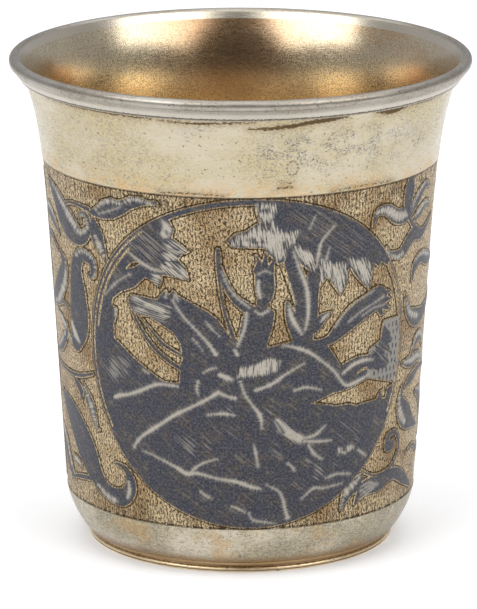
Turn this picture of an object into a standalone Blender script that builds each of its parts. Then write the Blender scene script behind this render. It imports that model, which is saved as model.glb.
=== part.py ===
"""Silver-gilt beaker with a niello frieze: cup body, rim moulding and foot ring.

Units: the sizes below are millimetres and become metres as the meshes are made.
The beaker stands on its foot ring at z = 0, centred on the Z axis, and the front
medallion faces -Y. The frieze is drawn flat first: u runs to the right along the
wall, v is the height above the table. It is then wrapped round the body.
"""
import math

import bmesh
import bpy
from mathutils import Vector, geometry

MM = 0.001
TAU = 2.0 * math.pi
SHARP_ANGLE = 25.0

# Whole beaker
HEIGHT = 79.8
SEGMENTS = 60
SOLDER_GAP = 0.3

# Foot ring
FOOT_HEIGHT = 1.53
FOOT_WIDTH = 2.2
FOOT_SETBACK = 0.6
FOOT_COVE = 0.45
FOOT_BEAD_HEIGHT = 0.8
FOOT_CHAMFER = 0.3

# Cup body: radii are of the outside of the wall
WALL = 1.0
FLOOR = 1.1
LIP_DROP = 1.5
LOW_RADIUS = 28.55
TAPER = 0.060
FLARE = 3.28
FLARE_LENGTH = 6.54
ROUND_START = 10.0
BASE_RADIUS = 25.4
INSIDE_ROUND = 5.0
BASE_HEIGHT = FOOT_HEIGHT + SOLDER_GAP
LIP_TOP = HEIGHT - LIP_DROP

# Rim moulding
BEAD_RADIUS = 0.93
BEAD_OVERHANG = 0.39
BAND_DEPTH = 3.5
BAND_THICKNESS = 0.4

# Frieze: its border lines and the depth of the chasing
PLAIN_BAND = 16.45
BASE_BAND = 8.33
CHASED_DEPTH = 0.2
CHASED_SLOPE = 0.22
FRIEZE_ROWS = 7
FRIEZE_TOP = HEIGHT - PLAIN_BAND
FRIEZE_LOW = BASE_BAND

# The flat drawing of the frieze, in its own units, which are millimetres at this size
DRAWN_LOW = 8.33
DRAWN_TOP = 63.35
LEAF_GAP = 1.5
MEDALLION_MIDDLE = (DRAWN_LOW + DRAWN_TOP) / 2.0
MEDALLION_HALF_HEIGHT = (DRAWN_TOP - DRAWN_LOW) / 2.0 - 0.3
MEDALLION_HALF_WIDTH = 28.4
MEDALLION_RIM = 0.9
BLUNT = 1.05


def outer_radius(height):
    """Outside of the wall: a slight taper, a flare to the lip and a rounded bottom."""
    height = max(height, BASE_HEIGHT)
    top = max(height, ROUND_START)
    radius = LOW_RADIUS + TAPER * (top - ROUND_START)
    radius += FLARE * math.exp((top - LIP_TOP) / FLARE_LENGTH)
    if height < ROUND_START:
        share = (ROUND_START - height) / (ROUND_START - BASE_HEIGHT)
        radius -= (radius - BASE_RADIUS) * share ** 2
    return radius


def smooth_line(points, steps):
    """Points along a Catmull-Rom curve; each point is (u, v) or (u, v, width)."""
    ends = [points[0]] + list(points) + [points[-1]]
    line = []
    for k in range(1, len(ends) - 2):
        a, b, c, d = ends[k - 1:k + 3]
        for s in range(steps):
            t = s / steps
            line.append([0.5 * (2 * q + (r - p) * t + (2 * p - 5 * q + 4 * r - w) * t * t
                                + (3 * q - p - 3 * r + w) * t ** 3)
                         for p, q, r, w in zip(a, b, c, d)])
    return line + [list(points[-1])]


def stroke(*points):
    """Outline of a leaf, limb or stem: a line whose width swells and tapers.

    An end narrower than BLUNT closes in a single point.
    """
    line = smooth_line(points, 2 if len(points) > 2 else 1)
    left, right = [], []
    for k, (u, v, width) in enumerate(line):
        if k in (0, len(line) - 1) and width < BLUNT:
            left.append((u, v))
            continue
        before, after = line[max(k - 1, 0)], line[min(k + 1, len(line) - 1)]
        du, dv = after[0] - before[0], after[1] - before[1]
        length = math.hypot(du, dv)
        side_u, side_v = -dv / length * width / 2, du / length * width / 2
        left.append((u + side_u, v + side_v))
        right.append((u - side_u, v - side_v))
    return left + right[::-1]


def ellipse(u, v, half_width, half_height, count=24, start=0.0, stop=TAU):
    """Points round an ellipse, or along a part of it."""
    open_arc = abs(stop - start) < TAU - 1e-6
    last = count - 1 if open_arc else count
    angles = [start + (stop - start) * k / last for k in range(count)]
    return [(u + half_width * math.cos(a), v + half_height * math.sin(a)) for a in angles]


def rim_arc(start, stop, count, inset=MEDALLION_RIM / 2):
    """Part of a medallion's outline, anticlockwise, angles in degrees."""
    return ellipse(0.0, MEDALLION_MIDDLE, MEDALLION_HALF_WIDTH - inset,
                   MEDALLION_HALF_HEIGHT - inset, count, math.radians(start), math.radians(stop))


def medallion_rim():
    """The flush ring round a picture: once round outside and back round inside."""
    return rim_arc(90, 449.9, 33, 0.0) + rim_arc(449.9, 90, 33, MEDALLION_RIM)


def hunting_scene():
    """Niello and bright silver left flush with the wall in the front picture."""
    ground = rim_arc(172, 346, 13) + [
        (22.5, 27.9), (17.0, 28.2), (11.0, 29.3), (8.0, 31.5), (-8.0, 32.0), (-12.0, 32.4),
        (-16.5, 33.6), (-20.5, 36.4), (-23.2, 38.6)]
    left_tree = rim_arc(118, 174, 7) + [
        (-23.3, 38.2), (-22.7, 43.2), (-21.3, 46.4), (-18.8, 47.5), (-16.6, 49.6),
        (-14.4, 48.2), (-13.8, 50.2), (-10.0, 50.4), (-10.4, 54.6), (-13.0, 56.6),
        (-12.4, 59.0)]
    foliage = rim_arc(35, 88, 6) + [
        (0.6, 58.6), (-3.6, 56.6), (0.6, 55.4), (4.2, 55.2), (6.0, 54.4), (8.6, 50.4),
        (11.8, 50.4), (14.2, 46.8), (15.2, 50.4), (19.6, 46.4), (20.4, 51.0)]
    horse = [
        (-19.8, 43.6), (-19.8, 45.6), (-17.0, 46.5), (-14.8, 46.2), (-13.6, 48.2), (-12.2, 47.0),
        (-9.0, 46.0), (-5.4, 42.8), (-3.2, 38.6), (3.0, 38.6), (7.5, 39.9), (10.6, 39.0),
        (13.0, 36.6), (14.6, 34.4), (18.6, 35.4), (21.5, 34.4), (19.5, 33.0), (21.0, 31.6),
        (12.0, 30.6), (-11.6, 31.6), (-11.4, 38.6), (-12.0, 41.0), (-15.0, 42.6)]
    body = [(-2.8, 38.0), (-2.2, 42.2), (-1.0, 45.4), (1.4, 46.0), (3.2, 44.6), (2.4, 38.2)]
    tower = [(20.2, 36.6), (22.6, 36.9), (22.9, 40.3), (26.6, 40.2), (27.6, 34.6), (26.6, 29.0),
             (23.0, 29.6), (20.2, 31.4)]
    return [medallion_rim()] + [
        ground, left_tree, foliage, horse, body, tower,
        ellipse(1.8, 48.8, 1.9, 2.3, 10),
        stroke((0.6, 51.0, 1.6), (1.4, 53.8, 0.5)),
        stroke((-5.1, 55.2, 0.5), (-4.9, 49.0, 0.8), (-3.0, 39.0, 0.8)),
        stroke((-4.9, 51.2, 0.8), (-3.0, 47.4, 1.3), (-0.2, 45.0, 1.6)),
        stroke((-18.6, 43.4, 0.6), (-15.2, 38.4, 0.8), (-11.4, 34.6, 0.8)),
        stroke((8.8, 38.8, 3.8), (9.2, 44.6, 3.8), (6.4, 51.4, 3.2), (4.6, 56.2, 2.6)),
        stroke((9.4, 45.0, 2.6), (9.6, 50.4, 2.6), (11.8, 56.4, 2.2)),
        stroke((8.2, 39.8, 2.2), (6.6, 43.4, 2.0), (5.4, 46.0, 0.8)),
        stroke((9.8, 41.4, 1.6), (11.4, 43.4, 1.8), (12.6, 44.0, 0.4)),
        stroke((10.2, 38.8, 1.2), (13.6, 40.4, 2.6), (18.4, 44.0, 4.2), (23.2, 44.2, 2.4)),
    ]


def landscape_scene():
    """The plainer picture at the back: banks, two trees and a small house."""
    ground = rim_arc(168, 372, 15) + [(20.0, 37.0), (10.0, 34.6), (0.0, 36.6), (-12.0, 34.4)]
    crown_left = ellipse(-13.5, 48.5, 7.6, 6.2, 14)
    crown_right = ellipse(12.5, 51.0, 6.2, 5.4, 14)
    house = [(-4.0, 34.0), (-4.0, 41.0), (0.5, 45.2), (5.0, 41.0), (5.0, 34.0)]
    return [medallion_rim()] + [
        ground, crown_left, crown_right, house,
        stroke((-14.6, 34.0, 2.6), (-13.8, 45.0, 1.6)),
        stroke((12.6, 34.0, 2.2), (12.4, 47.0, 1.4)),
    ]


def left_scrolls():
    """Leaves between the left side of the front picture and the middle of the column."""
    return [
        stroke((-33.0, 58.6, 0.8), (-27.6, 58.8, 2.0), (-21.0, 60.4, 4.2), (-13.8, 61.7, 0.8)),
        stroke((-26.6, 57.4, 1.0), (-25.4, 54.4, 2.8), (-24.0, 51.2, 0.5)),
        stroke((-39.4, 60.8, 1.0), (-34.4, 57.0, 4.4), (-29.6, 54.0, 2.4), (-27.4, 56.6, 1.4),
               (-29.6, 57.8, 0.9)),
        stroke((-33.4, 35.8, 2.6), (-31.8, 42.0, 4.8), (-32.0, 47.8, 3.2), (-29.2, 50.9, 2.2),
               (-26.8, 49.4, 1.8), (-28.0, 47.8, 0.7)),
        stroke((-44.6, 41.0, 0.8), (-40.0, 41.0, 3.6), (-36.0, 46.4, 3.6), (-36.6, 50.2, 1.0)),
        stroke((-42.8, 31.0, 0.8), (-37.4, 32.2, 1.8), (-34.6, 36.4, 1.0)),
        stroke((-44.8, 53.4, 0.8), (-41.0, 55.0, 2.6), (-37.4, 53.2, 0.8)),
        stroke((-36.0, 28.8, 0.8), (-32.0, 28.6, 2.2), (-29.4, 25.6, 1.6), (-28.2, 22.4, 0.5)),
        stroke((-42.4, 26.0, 1.2), (-36.0, 22.0, 5.6), (-30.6, 15.8, 4.4), (-25.8, 11.6, 2.6),
               (-21.6, 13.0, 2.4), (-23.4, 17.0, 0.8)),
        stroke((-45.0, 17.0, 0.8), (-41.0, 15.2, 2.8), (-36.0, 11.4, 0.8)),
    ]


def right_scrolls():
    """Leaves between the right side of the front picture and the middle of the column."""
    return [
        stroke((20.0, 57.4, 0.6), (22.4, 59.4, 2.0), (25.6, 58.2, 3.0), (28.6, 56.6, 1.6)),
        stroke((28.0, 62.4, 0.9), (28.0, 59.6, 2.8), (28.8, 56.6, 1.2)),
        stroke((29.2, 56.6, 1.2), (31.6, 58.8, 2.4), (35.4, 60.2, 0.6)),
        stroke((24.6, 53.0, 0.6), (27.4, 51.4, 2.2), (32.2, 53.4, 2.6), (38.0, 55.4, 0.8)),
        stroke((31.0, 45.4, 0.8), (32.4, 48.8, 2.4), (37.6, 48.4, 2.6), (44.6, 45.6, 0.8)),
        stroke((29.0, 44.2, 0.6), (31.6, 40.2, 2.6), (36.8, 38.0, 3.2), (43.6, 40.6, 0.8)),
        stroke((29.6, 31.8, 0.6), (33.4, 32.6, 2.6), (37.4, 34.6, 2.4), (40.2, 33.0, 0.6)),
        stroke((31.0, 27.6, 0.8), (33.6, 29.0, 1.8), (41.0, 29.8, 0.8)),
        stroke((29.8, 27.8, 0.7), (31.0, 24.2, 3.8), (34.6, 21.4, 3.8), (38.8, 19.6, 0.6)),
        stroke((20.4, 14.9, 0.7), (27.6, 15.3, 0.9), (29.6, 18.4, 1.0), (27.2, 19.8, 1.8)),
        stroke((16.6, 10.2, 0.8), (18.0, 13.0, 2.4), (20.8, 15.4, 0.6)),
        stroke((20.4, 11.8, 0.7), (26.0, 13.2, 2.4), (31.4, 12.8, 2.4), (36.4, 10.0, 0.8)),
        stroke((37.0, 24.6, 0.8), (41.4, 22.4, 2.6), (44.8, 16.4, 0.8)),
    ]


# Half the width of a column of leaves, which closes the drawing after two columns and
# two pictures, and the radius at which it goes once round the beaker
COLUMN = LEAF_GAP + max(abs(u) for leaf in left_scrolls() + right_scrolls() for u, v in leaf)
HALF_TURN = 2.0 * COLUMN
DRAWN_RADIUS = HALF_TURN / math.pi


def moved(outline, mirror=False, shift=0.0):
    """A copy of an outline, mirrored about u = 0 first where asked, then shifted."""
    sign = -1.0 if mirror else 1.0
    copy = [(sign * u + shift, v) for u, v in outline]
    return copy[::-1] if mirror else copy


def frieze_outlines():
    """Every flush shape of the frieze, from u = -COLUMN round to u = 3 COLUMN.

    Each column of leaves is the half seen from the front and the same leaves turned over.
    """
    left, right = left_scrolls(), right_scrolls()
    shapes = hunting_scene()
    shapes += [moved(shape, shift=HALF_TURN) for shape in landscape_scene()]
    shapes += left + right
    shapes += [moved(shape, mirror=True, shift=HALF_TURN) for shape in right]
    shapes += [moved(shape, mirror=True, shift=HALF_TURN) for shape in left]
    return shapes


def grown(outline, amount):
    """The outline moved outwards by an amount: the foot of a chased edge."""
    area = sum(a[0] * b[1] - b[0] * a[1] for a, b in zip(outline, outline[1:] + outline[:1]))
    turn = 1.0 if area > 0 else -1.0
    result = []
    count = len(outline)
    for k in range(count):
        before, after = outline[k - 1], outline[(k + 1) % count]
        du, dv = after[0] - before[0], after[1] - before[1]
        length = math.hypot(du, dv) or 1.0
        result.append((outline[k][0] + turn * dv / length * amount,
                       outline[k][1] - turn * du / length * amount))
    return result


def distance_to_edge(u, v, a, b):
    """Distance from a point to the straight edge a-b."""
    du, dv = b[0] - a[0], b[1] - a[1]
    span = du * du + dv * dv
    t = 0.0 if span == 0 else max(0.0, min(1.0, ((u - a[0]) * du + (v - a[1]) * dv) / span))
    return math.hypot(u - a[0] - t * du, v - a[1] - t * dv)


def covers(outline, box, u, v, tolerance=0.002):
    """True where a point lies in an outline or on its edge."""
    if not (box[0] - tolerance <= u <= box[1] + tolerance
            and box[2] - tolerance <= v <= box[3] + tolerance):
        return False
    inside = False
    for a, b in zip(outline, outline[1:] + outline[:1]):
        if distance_to_edge(u, v, a, b) <= tolerance:
            return True
        if (a[1] > v) != (b[1] > v) and u < a[0] + (v - a[1]) * (b[0] - a[0]) / (b[1] - a[1]):
            inside = not inside
    return inside


def frieze_drawing():
    """The frieze as flat triangles: points (u, v, depth below the wall) and faces."""
    shapes = frieze_outlines()
    start, stop = -COLUMN, 3.0 * COLUMN
    step = (stop - start) / SEGMENTS
    heights = [DRAWN_LOW + (DRAWN_TOP - DRAWN_LOW) * k / FRIEZE_ROWS
               for k in range(FRIEZE_ROWS + 1)]
    heights = [DRAWN_LOW, DRAWN_LOW + CHASED_SLOPE] + heights[1:-1] + [
        DRAWN_TOP - CHASED_SLOPE, DRAWN_TOP]
    points, edges = [], []
    for height in heights:
        first = len(points)
        points += [Vector((start + step * k, height)) for k in range(SEGMENTS + 1)]
        if height in (heights[0], heights[1], heights[-2], heights[-1]):
            edges += [(first + k, first + k + 1) for k in range(SEGMENTS)]
    for side in (0, SEGMENTS):
        column = [row * (SEGMENTS + 1) + side for row in range(len(heights))]
        edges += list(zip(column, column[1:]))
    low, top = heights[1], heights[-2]
    for shape in shapes:
        for outline in (shape, grown(shape, CHASED_SLOPE)):
            first = len(points)
            points += [Vector((u, min(max(v, low), top))) for u, v in outline]
            count = len(outline)
            edges += [(first + k, first + (k + 1) % count) for k in range(count)]
    made = geometry.delaunay_2d_cdt(points, edges, [], 0, 1e-4)
    boxes = [(min(p[0] for p in s), max(p[0] for p in s), min(p[1] for p in s),
              max(p[1] for p in s)) for s in shapes]
    drawn = []
    for point in made[0]:
        flush = point.y < low - 0.01 or point.y > top + 0.01
        flush = flush or any(covers(s, b, point.x, point.y) for s, b in zip(shapes, boxes))
        drawn.append((point.x, point.y, 0.0 if flush else CHASED_DEPTH))
    return drawn, [tuple(face) for face in made[2]]


def spread(start, stop, steps, power=1.0):
    """Values from start to stop; a power under 1 sets them closer near the stop."""
    return [start + (stop - start) * (k / steps) ** power for k in range(steps + 1)]


def ring(mesh, radius, height):
    """One circle of vertices, starting at the seam of the frieze."""
    turn = -COLUMN / DRAWN_RADIUS
    return [mesh.verts.new(wrapped(turn + TAU * k / SEGMENTS, radius, height))
            for k in range(SEGMENTS)]


def wrapped(angle, radius, height):
    """A point of the beaker in metres; angle 0 faces -Y and grows towards +X."""
    return (radius * math.sin(angle) * MM, -radius * math.cos(angle) * MM, height * MM)


def skin(mesh, rings):
    """Walls between neighbouring circles of vertices."""
    for lower, upper in zip(rings, rings[1:]):
        for k in range(SEGMENTS):
            n = (k + 1) % SEGMENTS
            mesh.faces.new((lower[k], lower[n], upper[n], upper[k]))


def finished(name, mesh, colour, roughness):
    """Turn a closed mesh into a named object with its own metal."""
    bmesh.ops.remove_doubles(mesh, verts=mesh.verts, dist=2e-6)
    bmesh.ops.recalc_face_normals(mesh, faces=mesh.faces)
    for face in mesh.faces:
        face.smooth = True
    data = bpy.data.meshes.new(name)
    mesh.to_mesh(data)
    mesh.free()
    data.set_sharp_from_angle(angle=math.radians(SHARP_ANGLE))
    metal = bpy.data.materials.new(name + "_metal")
    metal.use_nodes = True
    shader = metal.node_tree.nodes["Principled BSDF"]
    shader.inputs["Base Color"].default_value = (*colour, 1.0)
    shader.inputs["Metallic"].default_value = 1.0
    shader.inputs["Roughness"].default_value = roughness
    data.materials.append(metal)
    part = bpy.data.objects.new(name, data)
    bpy.context.scene.collection.objects.link(part)
    return part


def cup_body():
    """The raised vessel: one sheet of silver from the lip down and across the bottom."""
    mesh = bmesh.new()
    drawn, faces = frieze_drawing()
    verts = []
    for u, v, depth in drawn:
        height = FRIEZE_LOW + (v - DRAWN_LOW) * (FRIEZE_TOP - FRIEZE_LOW) / (DRAWN_TOP - DRAWN_LOW)
        verts.append(mesh.verts.new(wrapped(u / DRAWN_RADIUS, outer_radius(height) - depth, height)))
    for face in faces:
        mesh.faces.new([verts[k] for k in face])

    skin(mesh, [ring(mesh, outer_radius(h), h) for h in spread(FRIEZE_TOP, LIP_TOP, 5, 0.7)])
    skin(mesh, [ring(mesh, outer_radius(h), h) for h in spread(BASE_HEIGHT, FRIEZE_LOW, 4, 1.3)])

    corner_height = BASE_HEIGHT + FLOOR + INSIDE_ROUND
    corner_radius = outer_radius(corner_height) - WALL
    inside = []
    for turn in spread(0.0, math.pi / 2, 4):
        inside.append((corner_radius - INSIDE_ROUND * (1 - math.sin(turn)),
                       corner_height - INSIDE_ROUND * math.cos(turn)))
    for height in spread(corner_height, LIP_TOP, 6, 0.7)[1:]:
        inside.append((outer_radius(height) - WALL, height))
    circles = [ring(mesh, radius, height) for radius, height in inside]
    skin(mesh, circles)
    mesh.faces.new(circles[0])

    mesh.faces.new(ring(mesh, BASE_RADIUS, BASE_HEIGHT))
    skin(mesh, [ring(mesh, outer_radius(LIP_TOP), LIP_TOP),
                ring(mesh, outer_radius(LIP_TOP) - WALL, LIP_TOP)])
    return finished("cup_body", mesh, (0.62, 0.53, 0.34), 0.35)


def swept(profile):
    """A closed ring from a closed profile of (radius, height) points."""
    mesh = bmesh.new()
    circles = [ring(mesh, r, h) for r, h in profile]
    skin(mesh, circles + circles[:1])
    return mesh


def rim_moulding():
    """The applied band round the lip: a cone under a rounded bead that covers the edge."""
    bead_radius = outer_radius(LIP_TOP) + BEAD_OVERHANG
    bead_height = HEIGHT - BEAD_RADIUS
    seat_height = LIP_TOP + SOLDER_GAP
    low_height = HEIGHT - BAND_DEPTH
    profile = []
    for degrees in (-55, -10, 35, 90, 130, 170):
        turn = math.radians(degrees)
        profile.append((bead_radius + BEAD_RADIUS * math.cos(turn),
                        bead_height + BEAD_RADIUS * math.sin(turn)))
    profile.append((outer_radius(LIP_TOP) - WALL, seat_height))
    for height in (seat_height, low_height):
        profile.append((outer_radius(height) + SOLDER_GAP, height))
    profile.append((outer_radius(low_height) + SOLDER_GAP + BAND_THICKNESS, low_height))
    return finished("rim_moulding", swept(profile), (0.60, 0.57, 0.50), 0.3)


def foot_ring():
    """The low ring soldered under the body: a hollow neck over a small bead."""
    outer = BASE_RADIUS - FOOT_SETBACK
    inner = outer - FOOT_WIDTH
    neck = outer - FOOT_COVE
    profile = [(inner, 0.0), (outer - FOOT_CHAMFER, 0.0), (outer, FOOT_CHAMFER),
               (outer - FOOT_CHAMFER / 2, FOOT_BEAD_HEIGHT),
               (neck, FOOT_BEAD_HEIGHT + FOOT_CHAMFER / 2),
               (neck, FOOT_HEIGHT), (inner, FOOT_HEIGHT)]
    return finished("foot_ring", swept(profile), (0.50, 0.38, 0.20), 0.4)


def main():
    for old in list(bpy.data.objects):
        bpy.data.objects.remove(old, do_unlink=True)
    for part in (cup_body(), rim_moulding(), foot_ring()):
        triangles = sum(len(face.vertices) - 2 for face in part.data.polygons)
        print(part.name, triangles, "triangles")


main()
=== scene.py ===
# %% [markdown]
# # A silver-gilt beaker with a niello frieze
#
# The real beaker is raised from one sheet of silver. A goldsmith chased and engraved a
# frieze round its wall, filled the engraving with niello, a blue-black alloy of silver,
# copper, lead and sulphur, and gilded the rest. A moulded band is soldered round the lip
# and a low ring under the base.
#
# The lesson makes the looks of that beaker over a frame that already has its true sizes.
# Lengths are in millimetres until a mesh is made, and then in metres.

# %% Load the frame
import math

import bmesh
import bpy
import numpy as np
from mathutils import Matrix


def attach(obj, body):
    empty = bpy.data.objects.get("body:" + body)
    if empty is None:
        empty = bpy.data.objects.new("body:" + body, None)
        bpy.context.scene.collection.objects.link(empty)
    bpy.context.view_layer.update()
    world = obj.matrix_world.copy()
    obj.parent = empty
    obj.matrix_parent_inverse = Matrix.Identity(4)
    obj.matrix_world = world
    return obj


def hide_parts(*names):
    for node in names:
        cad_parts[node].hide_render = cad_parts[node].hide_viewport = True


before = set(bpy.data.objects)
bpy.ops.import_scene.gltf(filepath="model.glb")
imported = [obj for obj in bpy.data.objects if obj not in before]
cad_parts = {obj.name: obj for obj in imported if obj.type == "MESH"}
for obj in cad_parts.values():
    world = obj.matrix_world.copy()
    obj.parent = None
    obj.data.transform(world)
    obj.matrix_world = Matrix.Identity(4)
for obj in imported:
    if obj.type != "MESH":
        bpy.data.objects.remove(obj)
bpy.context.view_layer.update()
MM = 0.001
TAU = 2.0 * math.pi
print("pieces of the frame:", sorted(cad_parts))

# %% [markdown]
# ## The wall's own rule
#
# A raised wall follows a stake, so one short rule gives its outside radius at any height:
# a slight taper, a flare that grows towards the lip and a rounded bottom. Everything else
# in the script asks this rule where the wall is.

# %% The sizes of the vessel
HEIGHT = 79.8
LIP_TOP = HEIGHT - 1.5
WALL = 1.0
LOW_RADIUS, TAPER = 28.55, 0.060
FLARE, FLARE_LENGTH = 3.28, 6.54
ROUND_START = 10.0
BASE_HEIGHT, BASE_RADIUS = 1.83, 25.4
FLOOR_HEIGHT, INSIDE_ROUND = 2.93, 5.0
FRIEZE_LOW, FRIEZE_TOP = 8.33, 63.35
HALF_TURN = 93.0
ROUND_TURN = HALF_TURN / math.pi


def outer_radius(height):
    """Outside of the wall at a height, both in millimetres."""
    height = np.maximum(height, BASE_HEIGHT)
    top = np.maximum(height, ROUND_START)
    radius = LOW_RADIUS + TAPER * (top - ROUND_START)
    radius = radius + FLARE * np.exp((top - LIP_TOP) / FLARE_LENGTH)
    share = np.clip((ROUND_START - height) / (ROUND_START - BASE_HEIGHT), 0.0, 1.0)
    return radius - (radius - BASE_RADIUS) * share ** 2


print("radius at the base, waist and lip:",
      [round(float(outer_radius(h)), 2) for h in (BASE_HEIGHT, 35.0, LIP_TOP)])

# %% [markdown]
# ## The camera
#
# The photograph was taken with a long lens from a little above. A camera fitted to the
# outline of the rim, the wall and the foot gave its elevation, its distance in rim radii
# and its focal length in pixels.

# %% Camera at the photograph's viewpoint
PHOTO_WIDTH, PHOTO_HEIGHT = 477, 609
RIM_RADIUS = 37.25
CAMERA_ELEVATION = math.radians(14.48)
CAMERA_SIDE = math.radians(-3.5)
CAMERA_DISTANCE = 22.09 * RIM_RADIUS
FOCAL_PIXELS = 5057.8
AIM_HEIGHT = 41.65
AXIS_COLUMN, AXIS_ROW = 240.5, 282.0

camera_data = bpy.data.cameras.new("photo_camera")
camera = bpy.data.objects.new("photo_camera", camera_data)
bpy.context.scene.collection.objects.link(camera)
level = CAMERA_DISTANCE * math.cos(CAMERA_ELEVATION)
camera.location = (level * math.sin(CAMERA_SIDE) * MM, -level * math.cos(CAMERA_SIDE) * MM,
                   (AIM_HEIGHT + CAMERA_DISTANCE * math.sin(CAMERA_ELEVATION)) * MM)
camera.rotation_euler = (math.pi / 2 - CAMERA_ELEVATION, 0.0, CAMERA_SIDE)
camera_data.sensor_width = 36.0
camera_data.lens = FOCAL_PIXELS / PHOTO_HEIGHT * camera_data.sensor_width
camera_data.shift_x = -(AXIS_COLUMN - PHOTO_WIDTH / 2) / PHOTO_HEIGHT
camera_data.shift_y = -(PHOTO_HEIGHT / 2 - AXIS_ROW) / PHOTO_HEIGHT
camera_data.clip_end = 10.0
bpy.context.scene.camera = camera
print("lens:", round(camera_data.lens, 1), "mm")

# %% [markdown]
# ## Floor and light
#
# Polished metal shows its surroundings, so the light is mostly large soft panels: a pale
# room, two tall panels at the sides, whose edges make the bright stripes down the wall,
# and one panel overhead that lights the inside.

# %% Floor and soft panels
bpy.context.scene.view_settings.view_transform = "Standard"
world = bpy.data.worlds.new("dim_room")
world.use_nodes = True
room = world.node_tree.nodes["Background"]
room.inputs["Color"].default_value = (0.92, 0.94, 1.0, 1.0)
look = world.node_tree.nodes.new("ShaderNodeTexCoord")
sides = world.node_tree.nodes.new("ShaderNodeSeparateXYZ")
dimmer = world.node_tree.nodes.new("ShaderNodeMapRange")
for name, value in (("From Min", -0.75), ("From Max", 0.35), ("To Min", 0.11), ("To Max", 0.56)):
    dimmer.inputs[name].default_value = value
world.node_tree.links.new(look.outputs["Generated"], sides.inputs[0])
world.node_tree.links.new(sides.outputs["Y"], dimmer.inputs["Value"])
world.node_tree.links.new(dimmer.outputs["Result"], room.inputs["Strength"])
bpy.context.scene.world = world

FLOOR_HALF = 1.6
floor_mesh = bpy.data.meshes.new("floor")
floor_mesh.from_pydata([(-FLOOR_HALF, -FLOOR_HALF, 0), (FLOOR_HALF, -FLOOR_HALF, 0),
                        (FLOOR_HALF, FLOOR_HALF, 0), (-FLOOR_HALF, FLOOR_HALF, 0)],
                       [], [(0, 1, 2, 3)])
floor = bpy.data.objects.new("floor", floor_mesh)
bpy.context.scene.collection.objects.link(floor)
floor_paper = bpy.data.materials.new("white_paper")
floor_paper.use_nodes = True
paper = floor_paper.node_tree.nodes["Principled BSDF"]
paper.inputs["Base Color"].default_value = (0.92, 0.92, 0.92, 1.0)
paper.inputs["Roughness"].default_value = 0.7
paper.inputs["Emission Color"].default_value = (1.0, 1.0, 1.0, 1.0)
paper.inputs["Emission Strength"].default_value = 0.15
floor_mesh.materials.append(floor_paper)


def soft_panel(name, place, aim, width, height, watts):
    """A rectangular area light at a place, facing an aim, both in metres."""
    data = bpy.data.lights.new(name, "AREA")
    data.shape = "RECTANGLE"
    data.size, data.size_y = width, height
    data.energy = watts
    panel = bpy.data.objects.new(name, data)
    panel.location = place
    away = panel.location - type(panel.location)(aim)
    panel.rotation_euler = away.to_track_quat("Z", "Y").to_euler()
    bpy.context.scene.collection.objects.link(panel)
    return panel


MIDDLE = (0.0, 0.0, 0.04)
SIDE_DISTANCE, SIDE_ELEVATION, SIDE_SIZE = 1.1, 43, (0.84, 0.66)
TOP_PLACE, TOP_SIZE = (0.0, 0.15, 1.30), (1.9, 1.9)
LEFT_WATTS, RIGHT_WATTS, TOP_WATTS = 5.7, 5.2, 12.8


def stand(distance, side, elevation):
    """A place at a distance in metres; side 0 is the front, angles in degrees."""
    a, e = math.radians(side), math.radians(elevation)
    return (distance * math.cos(e) * math.sin(a), -distance * math.cos(e) * math.cos(a),
            distance * math.sin(e) + MIDDLE[2])


for name, side, watts in (("left_panel", -51, LEFT_WATTS), ("right_panel", 49, RIGHT_WATTS)):
    soft_panel(name, stand(SIDE_DISTANCE, side, SIDE_ELEVATION), MIDDLE, *SIDE_SIZE, watts)
soft_panel("top_panel", TOP_PLACE, (0.0, 0.0, 0.0), *TOP_SIZE, TOP_WATTS)

# %% [markdown]
# ## Drawing with distances
#
# The frieze is drawn flat: u runs to the right round the wall, v is the height, both in
# millimetres. Each leaf, limb or tool stroke is a function that gives, for every point of
# a fine grid, how far inside the shape that point lies. Such distances stay smooth between
# the points, so a shader that cuts them at zero draws an edge much finer than the grid,
# and the same numbers sink the chased ground in the mesh.

# %% Brushes that measure distance
REACH = 1.5
SHINE_WIDTH = 0.72


def curve_through(points, steps=6):
    """Points of a Catmull-Rom curve; each row is u, v and half the width."""
    rows = np.array([points[0], *points, points[-1]], float)
    t = (np.arange(steps) / steps)[:, None]
    parts = []
    for a, b, c, d in zip(rows, rows[1:], rows[2:], rows[3:]):
        parts.append(0.5 * (2 * b + (c - a) * t + (2 * a - 5 * b + 4 * c - d) * t ** 2
                            + (3 * b - a - 3 * c + d) * t ** 3))
    return np.vstack([*parts, rows[-1:]])


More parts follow.
